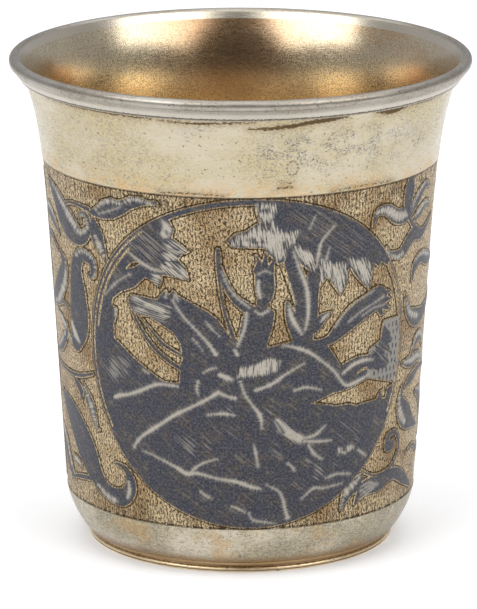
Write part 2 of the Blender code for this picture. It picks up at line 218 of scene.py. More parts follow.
class Drawing:
    """Layers of distances over a grid of u and v."""

    def __init__(self, u, v, middle=0.0, turned=False):
        self.u, self.v = u, v
        self.middle, self.turned = middle, turned
        shape = (len(u), len(v))
        self.flush = np.full(shape, -REACH)
        self.silver = np.full(shape, -REACH)
        self.tone = np.zeros(shape)
        self.grain = np.zeros(shape)
        self.comb = np.full(shape, 0.08)
        self.cuts = np.full(shape, 0.05)

    def placed(self, rows):
        """Shape points moved to where this copy of the motif stands."""
        rows = np.array(rows, float)
        rows[:, 0] = self.middle + (-rows[:, 0] if self.turned else rows[:, 0])
        return rows

    def window(self, rows, margin):
        """The part of the grid near some points, or None."""
        i = np.searchsorted(self.u, (rows[:, 0].min() - margin, rows[:, 0].max() + margin))
        j = np.searchsorted(self.v, (rows[:, 1].min() - margin, rows[:, 1].max() + margin))
        if i[0] == i[1] or j[0] == j[1]:
            return None
        return slice(*i), slice(*j)

    def stroke(self, points):
        """(window, distance inside, run along) of a stroke that swells and tapers."""
        rows = self.placed(curve_through(points))
        here = self.window(rows, REACH + rows[:, 2].max())
        if here is None:
            return None
        u, v = self.u[here[0]][:, None], self.v[here[1]][None, :]
        inside = np.full((u.shape[0], v.shape[1]), -REACH)
        along = np.zeros(inside.shape)
        run = rows[0, 0] + rows[0, 1]
        for a, b in zip(rows, rows[1:]):
            du, dv = b[0] - a[0], b[1] - a[1]
            length = math.hypot(du, dv) + 1e-6
            t = np.clip(((u - a[0]) * du + (v - a[1]) * dv) / length ** 2, 0.0, 1.0)
            gap = np.hypot(u - a[0] - t * du, v - a[1] - t * dv)
            found = a[2] + (b[2] - a[2]) * t - gap
            nearer = found > inside
            inside[nearer] = found[nearer]
            along[nearer] = (run + t * length)[nearer]
            run += length
        return here, inside, along

    def area(self, points):
        """(window, distance inside) of a straight-edged outline."""
        rows = self.placed([(*p, 0.0) for p in points])
        here = self.window(rows, REACH)
        if here is None:
            return None
        u, v = self.u[here[0]][:, None], self.v[here[1]][None, :]
        gap = np.full((u.shape[0], v.shape[1]), REACH)
        within = np.zeros(gap.shape, bool)
        for a, b in zip(rows, np.roll(rows, -1, axis=0)):
            du, dv = b[0] - a[0], b[1] - a[1]
            span = du * du + dv * dv + 1e-9
            t = np.clip(((u - a[0]) * du + (v - a[1]) * dv) / span, 0.0, 1.0)
            gap = np.minimum(gap, np.hypot(u - a[0] - t * du, v - a[1] - t * dv))
            if dv != 0.0:
                crosses = (v < a[1]) != (v < b[1])
                within ^= crosses & (u < a[0] + (v - a[1]) * du / dv)
        return here, np.where(within, gap, -gap), None

    def add(self, layer, found, edge=0.0):
        """Join a shape to a layer; an edge draws it that much narrower."""
        if found is not None:
            values = getattr(self, layer)
            values[found[0]] = np.maximum(values[found[0]], found[1] - edge)

    def cut(self, layer, found):
        """Take a shape out of a layer."""
        if found is not None:
            values = getattr(self, layer)
            values[found[0]] = np.minimum(values[found[0]], -found[1])

    def shade(self, layer, found, value, soft=0.3):
        """Blend a layer towards a value inside a shape."""
        if found is not None:
            share = np.clip(found[1] / soft + 0.5, 0.0, 1.0)
            values = getattr(self, layer)
            values[found[0]] += (value - values[found[0]]) * share

    def dark(self, *points):
        """A stroke left flush and filled with niello."""
        found = self.stroke(points)
        self.add("flush", found)
        self.cut("silver", found)

    def grained(self, found, comb, across=None):
        """Lay the fine cuts of a bright place: across the stroke, or at an angle in degrees."""
        if found is None:
            return
        here, inside, along = found
        if across is not None:
            a = math.radians(across)
            along = (self.u[here[0]][:, None] * math.cos(a)
                     + self.v[here[1]][None, :] * math.sin(a))
        near = (inside > -0.7) & (inside >= self.silver[here] - 1e-6)
        self.grain[here][near] = along[near]
        self.comb[here][near] = comb

    def shine(self, *points, bare=0.0, comb=0.09):
        """A stroke of bright silver in the niello, with a dark edge where bare is under 0."""
        found = self.stroke([(u, v, half * SHINE_WIDTH) for u, v, half in points])
        self.add("silver", found)
        self.add("flush", found, bare)
        self.grained(found, comb)

    def feathers(self, points, across, comb=0.5, inset=0.0):
        """An area of bright silver whose edges end in long fine cuts."""
        found = self.area(points)
        self.add("silver", found, inset)
        self.grained(found, comb, across)

    def mass(self, points, clip=None):
        """An area of niello."""
        found = self.area(points)
        if found is not None and clip is not None:
            found = (found[0], np.minimum(found[1], clip[found[0]]), None)
        self.add("flush", found)

    def leaf(self, *points, side=1.0, start=0.12, stop=0.92, share=0.30):
        """A niello leaf with a bright band along one side (1 left, -1 right, 0 middle)."""
        self.dark(*points)
        rows = curve_through(points)
        turn = np.gradient(rows[:, :2], axis=0)
        turn /= np.hypot(turn[:, :1], turn[:, 1:]) + 1e-9
        first, last = int(start * (len(rows) - 1)), int(stop * (len(rows) - 1))
        band = []
        for k in range(first, last + 1, 2):
            along = (k - first) / max(last - first, 1)
            half = rows[k, 2] * share * math.sin(math.pi * (0.08 + 0.84 * along)) ** 0.6
            shift = side * rows[k, 2] * (0.86 - share)
            band.append((rows[k, 0] - turn[k, 1] * shift, rows[k, 1] + turn[k, 0] * shift, half))
        if len(band) > 1:
            found = self.stroke(band)
            self.add("silver", found)
            self.grained(found, 0.30)


print("brushes reach", REACH, "mm round a shape")

# %% [markdown]
# ## The front picture: a hunt
#
# A ring of niello frames a rider with a spear on a leaping horse, between two trees, over
# dark ground with a stag's head. The figures are broad dark shapes with a few bright
# strokes left in the silver, which is how an engraver saves niello work its detail.

# %% The ring round a picture
RING_HALF_WIDTH, RING_HALF_HEIGHT, RING_BAND = 28.4, 27.25, 0.85
PICTURE_MIDDLE = (FRIEZE_LOW + FRIEZE_TOP) / 2


def inside_ring(drawing):
    """Distance inside the picture's outer ring, over the whole grid."""
    u = (drawing.u[:, None] - drawing.middle) / RING_HALF_WIDTH
    v = (drawing.v[None, :] - PICTURE_MIDDLE) / RING_HALF_HEIGHT
    return (1.0 - np.hypot(u, v)) * RING_HALF_HEIGHT


def ring_frame(drawing):
    """The dark ring round a picture. Returns what lies inside it."""
    inside = inside_ring(drawing)
    band = RING_BAND / 2 - np.abs(inside - RING_BAND / 2)
    drawing.flush = np.maximum(drawing.flush, band)
    return inside - RING_BAND * 0.5


def ring_point(angle, inset, half):
    """A stroke point on the ring, its angle in degrees anticlockwise from the right."""
    a = math.radians(angle)
    return ((RING_HALF_WIDTH - inset) * math.cos(a),
            PICTURE_MIDDLE + (RING_HALF_HEIGHT - inset) * math.sin(a), half)


print("front picture:", 2 * RING_HALF_WIDTH, "by", 2 * RING_HALF_HEIGHT, "mm")


# %% [markdown]
# The dark shapes come first: the land and its two trees, then the horse and its rider, and
# the tower behind a thicket. Later shapes are drawn over earlier ones, so the order counts.

# %% Land and trees
def land_and_trees(d, clip):
    # land, with a bank on the left
    d.mass([(-30, 41), (-23.2, 38.4), (-21.4, 37.2), (-19.9, 36.0), (-17.7, 34.6),
            (-15.2, 33.0), (-14.0, 32.4), (-11.4, 32.5), (-8, 33), (7, 32), (9.6, 28.9),
            (12.3, 28.4), (14.1, 27.9), (16.6, 27.9), (18, 27.3), (20.1, 27.5), (22.5, 27.5),
            (23.2, 28.6), (23.6, 28.8), (23.8, 27.4), (24.8, 27.3), (25.2, 28.9), (30, 29.6),
            (30, 5), (-30, 5)], clip)
    # left tree: crown, and the trunk that leans in from the ring
    d.mass([(-13.2, 61), (-12.3, 58.8), (-11.8, 57.8), (-12.2, 56.4), (-10.9, 55.5),
            (-9.5, 54.3), (-10.7, 53.7), (-11.3, 52.9), (-10.1, 51.6), (-9.6, 49.6),
            (-12.0, 50.0), (-13.9, 50.2), (-14.0, 49.2), (-14.4, 48.0), (-15.6, 48.9),
            (-16.8, 49.4), (-18.8, 47.5), (-21.3, 46.4), (-23.1, 45.0), (-23.4, 43.9),
            (-22.6, 43.3), (-22.6, 42.0), (-23.2, 40.6), (-23.2, 38.0), (-30, 37), (-28, 50),
            (-20, 62)], clip)
    d.cut("flush", d.stroke([(-20.1, 50.4, 0.08), (-18.8, 51.2, 0.40), (-17.3, 51.8, 0.08)]))
    # right tree: crown, trunk, forked limb, side shoot and stub
    d.mass([(0.3, 64), (0.5, 60.8), (1.0, 59.4), (0.2, 58.9), (-0.9, 58.0), (-2.6, 57.5),
            (-3.8, 56.2), (-3.0, 55.3), (0.4, 55.2), (1.6, 55.1), (2.6, 53.9), (3.9, 52.4),
            (4.8, 52.9), (6.0, 53.5), (9.3, 50.5), (10.4, 50.0), (10.7, 48.2), (11.7, 49.8),
            (12.3, 48.8), (14.1, 46.4), (15.2, 48.2), (15.2, 50.2), (15.8, 50.6), (16.6, 49.3),
            (18.0, 47.8), (19.7, 46.2), (20.1, 49.4), (20.4, 50.6), (21.4, 49.8), (22.0, 50.6),
            (22.9, 50.0), (28, 47), (20, 66)], clip)
    d.dark((7.9, 38.5, 1.6), (8.2, 43, 1.5), (7.6, 47.5, 1.35), (6.2, 51.6, 1.2), (4.9, 55.6, 0.8))
    d.dark((9.0, 42, 1.3), (9.3, 48.0, 1.1), (10.0, 52.0, 1.1), (11, 55.4, 0.9))
    d.dark((7.4, 40, 1.1), (6.2, 43.0, 1.0), (5.3, 45.9, 0.3))
    d.dark((9.8, 41.4, 0.9), (11.0, 42.8, 0.75), (12.5, 43.7, 0.14))


print("land and trees reach", FRIEZE_LOW, "to", FRIEZE_TOP, "mm")


# %% Horse and rider
def horse(d):
    d.mass([(-20.0, 45.5), (-19.4, 46.2), (-17.0, 46.1), (-14.9, 45.9), (-14.1, 47.0),
            (-13.4, 47.8), (-12.9, 46.9), (-12.2, 47.8), (-11.3, 46.9), (-9.9, 46.2),
            (-7, 44.7), (-5.3, 43.4), (-3.4, 40.6), (-2.2, 38.6), (0.4, 38.3), (3.2, 38.9),
            (7, 39.7), (10.2, 39.4), (12.2, 38.2), (13.6, 36.2), (14.6, 34.6), (16.8, 35.3),
            (18.0, 35.6), (20.4, 35.4), (22.2, 34.8), (22.6, 33.4), (21.2, 32.4), (20.6, 31.6),
            (16, 30.4), (13.4, 30.2), (10, 29.0), (-11.6, 31.4), (-11.3, 35.4), (-10.9, 36.6),
            (-11.2, 39.0), (-12.4, 40.8), (-14.6, 42.1), (-16.4, 43.0), (-18.2, 43.0),
            (-19.7, 43.9)])
    d.cut("flush", d.stroke([(18.0, 32.8, 0.08), (19.6, 33.3, 0.22), (21.0, 32.8, 0.08)]))
    d.dark((9.8, 38.8, 0.5), (12.6, 39.2, 0.8), (15.0, 41.2, 1.5), (18.2, 43.2, 1.8),
           (21.2, 44.6, 1.9), (22.4, 44.8, 1.3))
    for tip in ((24.6, 45.0), (24.8, 43.8), (24.7, 42.4), (23.4, 41.8)):
        d.dark((21.4, 44.4, 0.9), (tip[0] - 0.9, tip[1] + 0.2, 0.4), (*tip, 0.06))
    # reins
    d.dark((-19.4, 43.4, 0.20), (-17.4, 40.0, 0.30), (-15.2, 37.5, 0.34), (-12.7, 35.7, 0.34),
           (-11.0, 34.8, 0.3))
    d.dark((-18.2, 43.0, 0.12), (-16.3, 41.0, 0.20), (-14.1, 38.7, 0.30), (-11.0, 37.1, 0.2))


def rider(d):
    d.mass([(-3.2, 37.6), (-2.3, 39.2), (-1.9, 41.6), (-1.5, 43.9), (-0.6, 45.2), (0.6, 45.2),
            (1.2, 44.8), (2.6, 45.3), (3.4, 44.6), (3.1, 42), (2.3, 39.4), (2.4, 37.6)])
    d.dark((1.5, 47.0, 0.8), (1.4, 45.0, 0.9))
    d.dark((1.8, 50.4, 1.45), (1.9, 48.4, 1.45), (1.9, 46.9, 1.05))
    d.dark((0.8, 51.4, 0.7), (0.9, 52.8, 0.35), (0.5, 54.0, 0.1))
    d.dark((1.7, 51.6, 0.7), (1.9, 53.2, 0.35), (2.0, 54.6, 0.1))
    d.dark((2.6, 51.2, 0.6), (3.0, 52.6, 0.3), (3.5, 53.4, 0.1))
    d.dark((-4.9, 52.0, 0.3), (-4.2, 49.7, 0.55), (-2.9, 47.2, 0.62), (-1.2, 45.6, 0.8),
           (0.2, 44.6, 0.9))
    d.dark((-5.15, 54.8, 0.30), (-5.1, 53.0, 0.38), (-5.0, 50.0, 0.26), (-4.4, 45.4, 0.24),
           (-3.2, 41.4, 0.30), (-2.3, 38.4, 0.4))


print("horse and rider ready")


# %% Tower and thicket
def tower_and_thicket(d, clip):
    tower = [(23.2, 40.5), (29, 40.5), (29, 28.6), (25.5, 30.0), (21.5, 31.2), (20, 31.6),
             (20, 34.9), (20.4, 36.4), (22.0, 37.0), (22.8, 37.4)]
    d.mass(tower, clip)
    found = d.area(tower)
    if found is not None:
        found = (found[0], np.minimum(found[1], clip[found[0]]), None)
        d.shade("tone", found, 0.85)
    d.shade("tone", d.stroke([(19.6, 34.6, 0.7), (21.6, 34.0, 1.3), (24.2, 33.4, 0.8)]), 0.0)
    d.shade("tone", d.stroke([(23.6, 39.0, 0.4), (24.0, 37.6, 1.1), (25.0, 36.8, 0.3)]), 0.0)
    for row in range(8):
        for column in range(6):
            u, v = 21.6 + 1.0 * column + 0.3 * (row % 2), 39.4 - 1.22 * row
            d.shade("tone", d.stroke([(u, v + 0.26, 0.13), (u, v - 0.26, 0.13)]), 0.0, soft=0.2)


print("tower ready")


# %% [markdown]
# The bright places follow. Crowns, muzzle and belly are pale areas whose edges end in fine
# cuts, limbs and banks are single strokes, and the softest greys are patches of hatching.

# %% Pale areas
def pale_areas(d):
    pale = (
        # left tree
        (((-13.6, 59.3), (-12.6, 58.6), (-12.1, 57.8), (-12.5, 56.5), (-13.5, 56.2),
          (-14.0, 57.0), (-13.4, 58.0)), 60.0, 0.18),
        (((-12.6, 55.8), (-11.0, 55.2), (-9.8, 54.3), (-10.9, 53.9), (-11.6, 52.9),
          (-12.9, 52.6), (-13.6, 53.6), (-12.8, 54.2), (-13.3, 55.2)), 58.0, 0.90),
        (((-12.8, 52.4), (-11.3, 52.3), (-10.3, 51.4), (-9.8, 49.9), (-12.0, 50.3),
          (-14.4, 50.9), (-14.2, 51.5)), 50.0, 0.90),
        (((-15.8, 49.8), (-14.2, 50.2), (-14.3, 49.2), (-14.7, 48.4), (-15.8, 49.1)), 70.0, 0.50),
        # right tree: crown
        (((0.6, 62.3), (3.4, 62.1), (3.1, 60.9), (2.7, 59.6), (3.6, 58.0), (5.4, 57.4),
          (6.8, 57.6), (6.4, 56.0), (5.4, 55.3), (4.9, 54.2), (4.6, 53.2), (3.6, 53.0),
          (2.8, 54.4), (1.4, 55.5), (-1.0, 55.5), (-3.2, 55.7), (-2.4, 57.0), (-0.6, 57.7),
          (0.8, 58.9), (1.3, 59.6), (0.8, 60.8)), 8.0, 0.80),
        (((6.2, 55.0), (7.4, 55.0), (9.2, 53.6), (9.9, 52.2), (9.4, 51.0), (8.4, 52.0),
          (7.2, 52.6)), 20.0, 0.80),
        (((10.6, 52.6), (12.0, 51.8), (13.4, 51.6), (14.8, 51.2), (14.9, 49.2), (14.2, 47.0),
          (12.7, 48.7), (11.7, 50.2), (10.9, 48.8), (10.7, 50.4)), 12.0, 1.3),
        (((15.4, 52.2), (16.8, 51.8), (18.4, 51.4), (19.6, 50.6), (19.8, 48.6), (19.5, 46.8),
          (18.0, 48.3), (16.7, 49.8), (15.8, 51.0)), 24.0, 1.3),
        # horse: head and belly
        (((-19.5, 45.7), (-18.6, 46.0), (-16.8, 45.5), (-14.6, 45.2), (-12.8, 44.9),
          (-12.8, 44.1), (-14.2, 43.7), (-16.4, 44.1), (-18.4, 44.7)), 75.0, 0.34),
        (((-19.4, 44.0), (-17.6, 44.2), (-16.2, 43.7), (-13.0, 43.4), (-13.8, 42.6),
          (-16.6, 43.3), (-18.8, 43.5)), 80.0, 0.34),
        (((-2.3, 33.8), (1.6, 34.1), (3.8, 34.8), (4.3, 36.4), (2.8, 37.0), (0.8, 36.0),
          (-2.0, 35.3)), 0.0, 0.32),
        # stag's head, and a stone in the grass
        (((3.6, 26.6), (4.2, 26.9), (6.2, 25.0), (8.5, 23.5), (8.1, 22.3), (5.9, 23.4),
          (4.2, 24.7)), 45.0, 0.20),
        (((14.7, 20.7), (16.0, 20.4), (17.4, 21.0), (18.1, 20.3), (16.2, 19.6), (14.8, 19.8)),
         10.0, 0.30),
    )
    for outline, across, comb in pale:
        d.feathers(outline, across, comb)
        d.add("flush", d.area(outline))
    for dark in (((0.9, 61.2, 0.2), (2.2, 61.4, 0.35)), ((1.4, 59.0, 0.2), (2.0, 59.0, 0.3)),
                 ((-1.6, 56.4, 0.14), (0.2, 56.5, 0.2)), ((-0.4, 56.0, 0.1), (1.4, 56.2, 0.2)),
                 ((5.0, 55.9, 0.3), (5.4, 54.4, 0.5)), ((3.9, 26.2, 0.16), (5.1, 24.5, 0.22)),
                 ((6.9, 24.6, 0.16), (7.3, 24.3, 0.16)), ((-18.8, 45.1, 0.1), (-17.4, 45.0, 0.2)),
                 ((-13.6, 45.4, 0.1), (-13.2, 44.2, 0.2)), ((15.4, 20.3, 0.1), (16.4, 20.2, 0.16)),
                 ((-12.4, 54.6, 0.1), (-11.2, 54.5, 0.14)), ((-12.6, 51.6, 0.1), (-11.0, 51.0, 0.15)),
                 ((-13.0, 57.4, 0.2), (-12.8, 57.0, 0.2))):
        d.cut("silver", d.stroke(dark))


print("pale areas ready")


# %% Bright strokes
def bright_strokes(d):
    """Thin bright lines; each point is u, v and half the width."""
    bright = (
        # left tree
        ((-19.8, 53.3, 0.2), (-17.4, 51.8, 0.34), (-15.4, 50.9, 0.32), (-13.8, 50.8, 0.2)),
        ((-22.6, 43.4, 0.3), (-22.7, 42.2, 0.2)),
        ((-24.6, 45.4, 0.06), (-22.0, 47.9, 0.12), (-19.4, 49.6, 0.06)),
        # right tree: edges of trunk and shoots
        ((6.1, 54.4, 0.15), (7.2, 51.2, 0.3), (8.4, 47.9, 0.4), (8.7, 43.8, 0.38), (8.2, 41, 0.12)),
        ((4.3, 52.2, 0.06), (5.6, 48.8, 0.12), (6.7, 45.6, 0.06)),
        ((9.8, 51.4, 0.15), (10.1, 53.6, 0.32), (10.6, 55.7, 0.26), (12.5, 57.9, 0.08)),
        ((11.9, 54.6, 0.06), (11.4, 52.6, 0.2), (10.8, 50.6, 0.06)),
        ((5.6, 45.3, 0.16), (6.2, 43.2, 0.5), (7.9, 40.4, 0.12)),
        ((10.9, 42.4, 0.2), (11.5, 43.1, 0.36), (12.2, 43.6, 0.1)),
        ((8.6, 58.0, 0.06), (9.4, 60.0, 0.10)),
        # horse
        ((-13.5, 46.3, 0.1), (-13.3, 47.2, 0.22)),
        ((-12.2, 46.0, 0.14), (-11.8, 47.2, 0.2), (-11.4, 46.0, 0.12)),
        ((-12.1, 45.8, 0.12), (-10.8, 43.8, 0.24), (-8.6, 41.4, 0.2), (-6.8, 39.4, 0.3),
         (-5.6, 37.6, 0.42)),
        ((-7.2, 43.1, 0.06), (-6.0, 41.6, 0.16), (-4.9, 40.6, 0.06)),
        ((-9.4, 40.2, 0.06), (-8.6, 39.4, 0.12), (-7.6, 38.0, 0.06)),
        ((4.9, 39.0, 0.10), (7.0, 38.4, 0.34), (9.2, 37.4, 0.36), (11.2, 35.8, 0.26),
         (13.4, 33.9, 0.26), (14.8, 32.1, 0.28), (15.9, 31.1, 0.36), (17.6, 31.3, 0.42),
         (19.4, 31.8, 0.3), (20.6, 32.2, 0.1)),
        ((15.1, 33.2, 0.25), (17.2, 34.4, 0.42), (19.6, 34.7, 0.36), (21.2, 34.4, 0.1)),
        ((0.6, 31.7, 0.32), (3.2, 32.7, 0.32), (5.2, 34.1, 0.26), (8.2, 35.7, 0.12)),
        ((-5.2, 34.3, 0.4), (-4.2, 33.9, 0.55), (-3.3, 33.6, 0.35)),
        ((-7.7, 34.4, 0.10), (-6.6, 35.1, 0.2), (-5.5, 35.4, 0.08)),
        # forelegs over the dark ground
        ((-23.7, 28.4, 0.42), (-22.6, 28.9, 0.48), (-20.8, 29.4, 0.32), (-18.4, 30.4, 0.40),
         (-15.2, 31.9, 0.34), (-11.8, 31.9, 0.2)),
        ((-5.3, 31.3, 0.44), (-7.4, 29.9, 0.34), (-9.9, 28.5, 0.32), (-12.4, 27.1, 0.42),
         (-14.9, 25.3, 0.34), (-16.6, 24.1, 0.46), (-18.4, 22.8, 0.32), (-19.7, 21.4, 0.34),
         (-20.2, 20.4, 0.12)),
        ((-5.3, 31.3, 0.3), (-3.6, 30.6, 0.3), (-2.5, 30.4, 0.35)),
        ((-8.4, 33.2, 0.18), (-8.7, 31.8, 0.22), (-8.4, 30.5, 0.10)),
        ((-7, 27.5, 0.06), (-4.6, 27.8, 0.34), (-2.4, 27.5, 0.06)),
        ((-1.8, 33.1, 0.16), (-1.1, 31, 0.24), (0.1, 29.2, 0.26), (1.3, 27.4, 0.42),
         (1.6, 25.3, 0.10)),
        ((6.9, 31.4, 0.2), (8.7, 31.7, 0.26), (11.4, 31.0, 0.10)),
        # rider: arm, sleeve, collar and a plain face
        ((-4.6, 51.2, 0.08), (-3.6, 48.8, 0.16), (-2.2, 46.9, 0.22), (-0.5, 45.5, 0.15)),
        ((-0.9, 44.6, 0.22), (-1.2, 42.0, 0.32), (-2.3, 39.0, 0.2)),
        ((0.3, 44.9, 0.12), (1.3, 44.3, 0.28), (2.7, 45.0, 0.12)),
        ((0.9, 49.8, 0.26), (0.85, 48.4, 0.40), (1.2, 46.9, 0.3)),
        ((0.9, 50.9, 0.06), (1.9, 51.4, 0.12), (2.9, 50.9, 0.06)),
        ((-2.6, 38.2, 0.3), (-2.3, 37.6, 0.4)),
        # tail
        ((13.2, 41.0, 0.06), (14.8, 43.1, 0.16), (17.2, 44.9, 0.16), (20.6, 46.0, 0.10)),
        ((15.6, 41.6, 0.06), (18.6, 43.2, 0.12), (22.8, 44.6, 0.10)),
        ((18.4, 42.2, 0.06), (20.6, 43.1, 0.12), (23.2, 43.2, 0.10)),
        # banks, roots and grass below
        ((-18.4, 20.3, 0.10), (-16.6, 19.9, 0.16), (-14.1, 19.0, 0.22), (-12, 18.1, 0.40),
         (-10.6, 17.4, 0.46), (-8.8, 17.6, 0.34), (-5.6, 16.9, 0.26), (-2.4, 16.4, 0.42),
         (-0.2, 15.6, 0.40), (1.5, 15.2, 0.26)),
        ((-9.9, 17.8, 0.24), (-8.2, 19.2, 0.26), (-5.6, 20.2, 0.10)),
        ((-8.4, 14.6, 0.24), (-7.4, 13.9, 0.22), (-6.6, 13.6, 0.08)),
        ((-3.3, 12.3, 0.2), (-2.2, 11.9, 0.3), (-1.2, 11.3, 0.12)),
        ((-0.4, 11.0, 0.16), (0.2, 10.0, 0.22), (1.9, 9.6, 0.22), (4.1, 9.2, 0.08)),
        ((2.6, 15.7, 0.10), (4.4, 14.7, 0.22), (5.2, 13.2, 0.28), (5.5, 11.8, 0.30),
         (6.0, 10.2, 0.40)),
        ((8.4, 13.1, 0.08), (10.5, 14.6, 0.28), (12.3, 14.4, 0.18), (15.9, 14.7, 0.12)),
        ((12.5, 16.0, 0.10), (14.8, 16.4, 0.20), (17.5, 16.0, 0.10)),
        ((19.0, 19.7, 0.2), (19.8, 19.1, 0.26), (20.6, 18.5, 0.10)),
        ((6.0, 19.2, 0.16), (6.6, 18.6, 0.28), (7.0, 18.0, 0.12)),
        ((0.3, 22.6, 0.10), (0.6, 21.4, 0.34), (1.0, 19.0, 0.08)),
        ((-17.7, 34.0, 0.14), (-16.8, 33.5, 0.22)),
        # antlers
        ((8.4, 23.2, 0.24), (10.5, 23.6, 0.28), (12.3, 25.0, 0.10)),
        ((8.6, 22.7, 0.26), (11.2, 22.4, 0.30), (13.3, 22.3, 0.10)),
        ((9.4, 21.9, 0.26), (10.4, 20.4, 0.26), (11.9, 19.3, 0.10)),
    )
    for points in bright:
        d.shine(*points)


print("bright strokes ready")


# %% Half-tones, and the whole hunt
def half_tones(d):
    """Patches of fine parallel cuts: their middle, half width and strength."""
    for u, v, half, tone in ((-23.4, 33.4, 2.0, 0.62), (-21.0, 34.2, 1.4, 0.55),
                             (-10.0, 22.0, 1.5, 0.50), (-7.0, 22.4, 0.9, 0.40),
                             (11.2, 17.2, 1.3, 0.55), (14.2, 18.0, 0.9, 0.45),
                             (2.6, 27.4, 1.2, 0.42), (9.4, 19.6, 0.9, 0.40),
                             (6.6, 20.6, 1.0, 0.35), (-3.6, 28.4, 0.8, 0.40),
                             (-8.0, 13.0, 1.2, 0.35), (16.0, 24.6, 2.2, 0.34),
                             (23.0, 35.0, 1.6, 0.40), (0.0, 40.8, 1.0, 0.20),
                             (4.2, 22.2, 1.8, 0.34), (-3.0, 24.4, 1.9, 0.36),
                             (-12.6, 23.0, 1.4, 0.36), (18.6, 22.4, 1.4, 0.38)):
        d.shade("tone", d.stroke([(u, v - half * 0.3, half), (u, v + half * 0.3, half)]), tone,
                soft=half * 1.4)
    d.shade("cuts", d.stroke([(-18.6, 55.2, 2.4), (-14.0, 53.4, 2.6)]), 0.62, soft=0.8)
    d.shade("cuts", d.stroke([(8, 59.5, 2.6), (16, 54.5, 2.6)]), 0.30, soft=0.8)


def hunting_scene(d):
    clip = ring_frame(d)
    land_and_trees(d, clip)
    horse(d)
    rider(d)
    tower_and_thicket(d, clip)
    # gilt lines inside the ring: first and last angle, inset and half width
    for start, stop, step, inset, half in ((136, 178, 7, 1.45, 0.16), (128, 214, 8, 0.62, 0.11),
                                           (-24, 36, 8, 0.50, 0.16)):
        d.cut("flush", d.stroke([ring_point(a, inset, half) for a in range(start, stop, step)]))
    pale_areas(d)
    bright_strokes(d)
    half_tones(d)


print("the hunt is drawn in six steps")

# %% [markdown]
# ## The back picture
#
# The photograph doesn't show the back. Beakers of this kind repeat the ring with another
# view, so the back has a plainer landscape: banks, two round trees and a small house.

# %% A round tree
def round_tree(d, u, v, half, turn):
    """A ragged crown on a forked trunk, pale and finely cut along its lower side."""
    d.dark((u - 1.1, 33.6, 2.3), (u - 0.7, v - half - 2.0, 1.4), (u - 0.2, v, 1.0))
    d.dark((u - 0.8, v - half - 2.6, 0.9), (u + 1.6, v - half + 0.4, 0.7), (u + 3.0, v, 0.4))
    edge, core = [], []
    for k in range(32):
        a = TAU * k / 32
        ragged = 1.0 + 0.10 * math.sin(5 * a + turn) + (0.08 if k % 2 else -0.06)
        across, up = math.cos(a) * half * 1.18, math.sin(a) * half * 0.94
        edge.append((u + across * ragged, v + up * ragged))
        core.append((u + across * 0.62, v + up * 0.55))
    d.mass(edge)
    d.feathers(edge[15:29] + core[28:15:-1], 10.0, 1.1, 0.22)
    d.feathers(edge[4:9] + core[8:4:-1], 60.0, 0.9, 0.30)
    for k in range(4):
        a = 0.7 + 1.45 * k + turn
        d.shine((u + half * 0.5 * math.cos(a), v + half * 0.4 * math.sin(a), 0.05),
                (u + half * 0.7 * math.cos(a + 0.5), v + half * 0.6 * math.sin(a + 0.5), 0.18),
                (u + half * 0.6 * math.cos(a + 1.0), v + half * 0.5 * math.sin(a + 1.0), 0.05))
    d.shine((u - 1.9, 34.2, 0.1), (u - 1.2, v - half * 1.3, 0.30), (u - 0.9, v - half * 0.9, 0.1))


print("a tree's crown has 32 points")


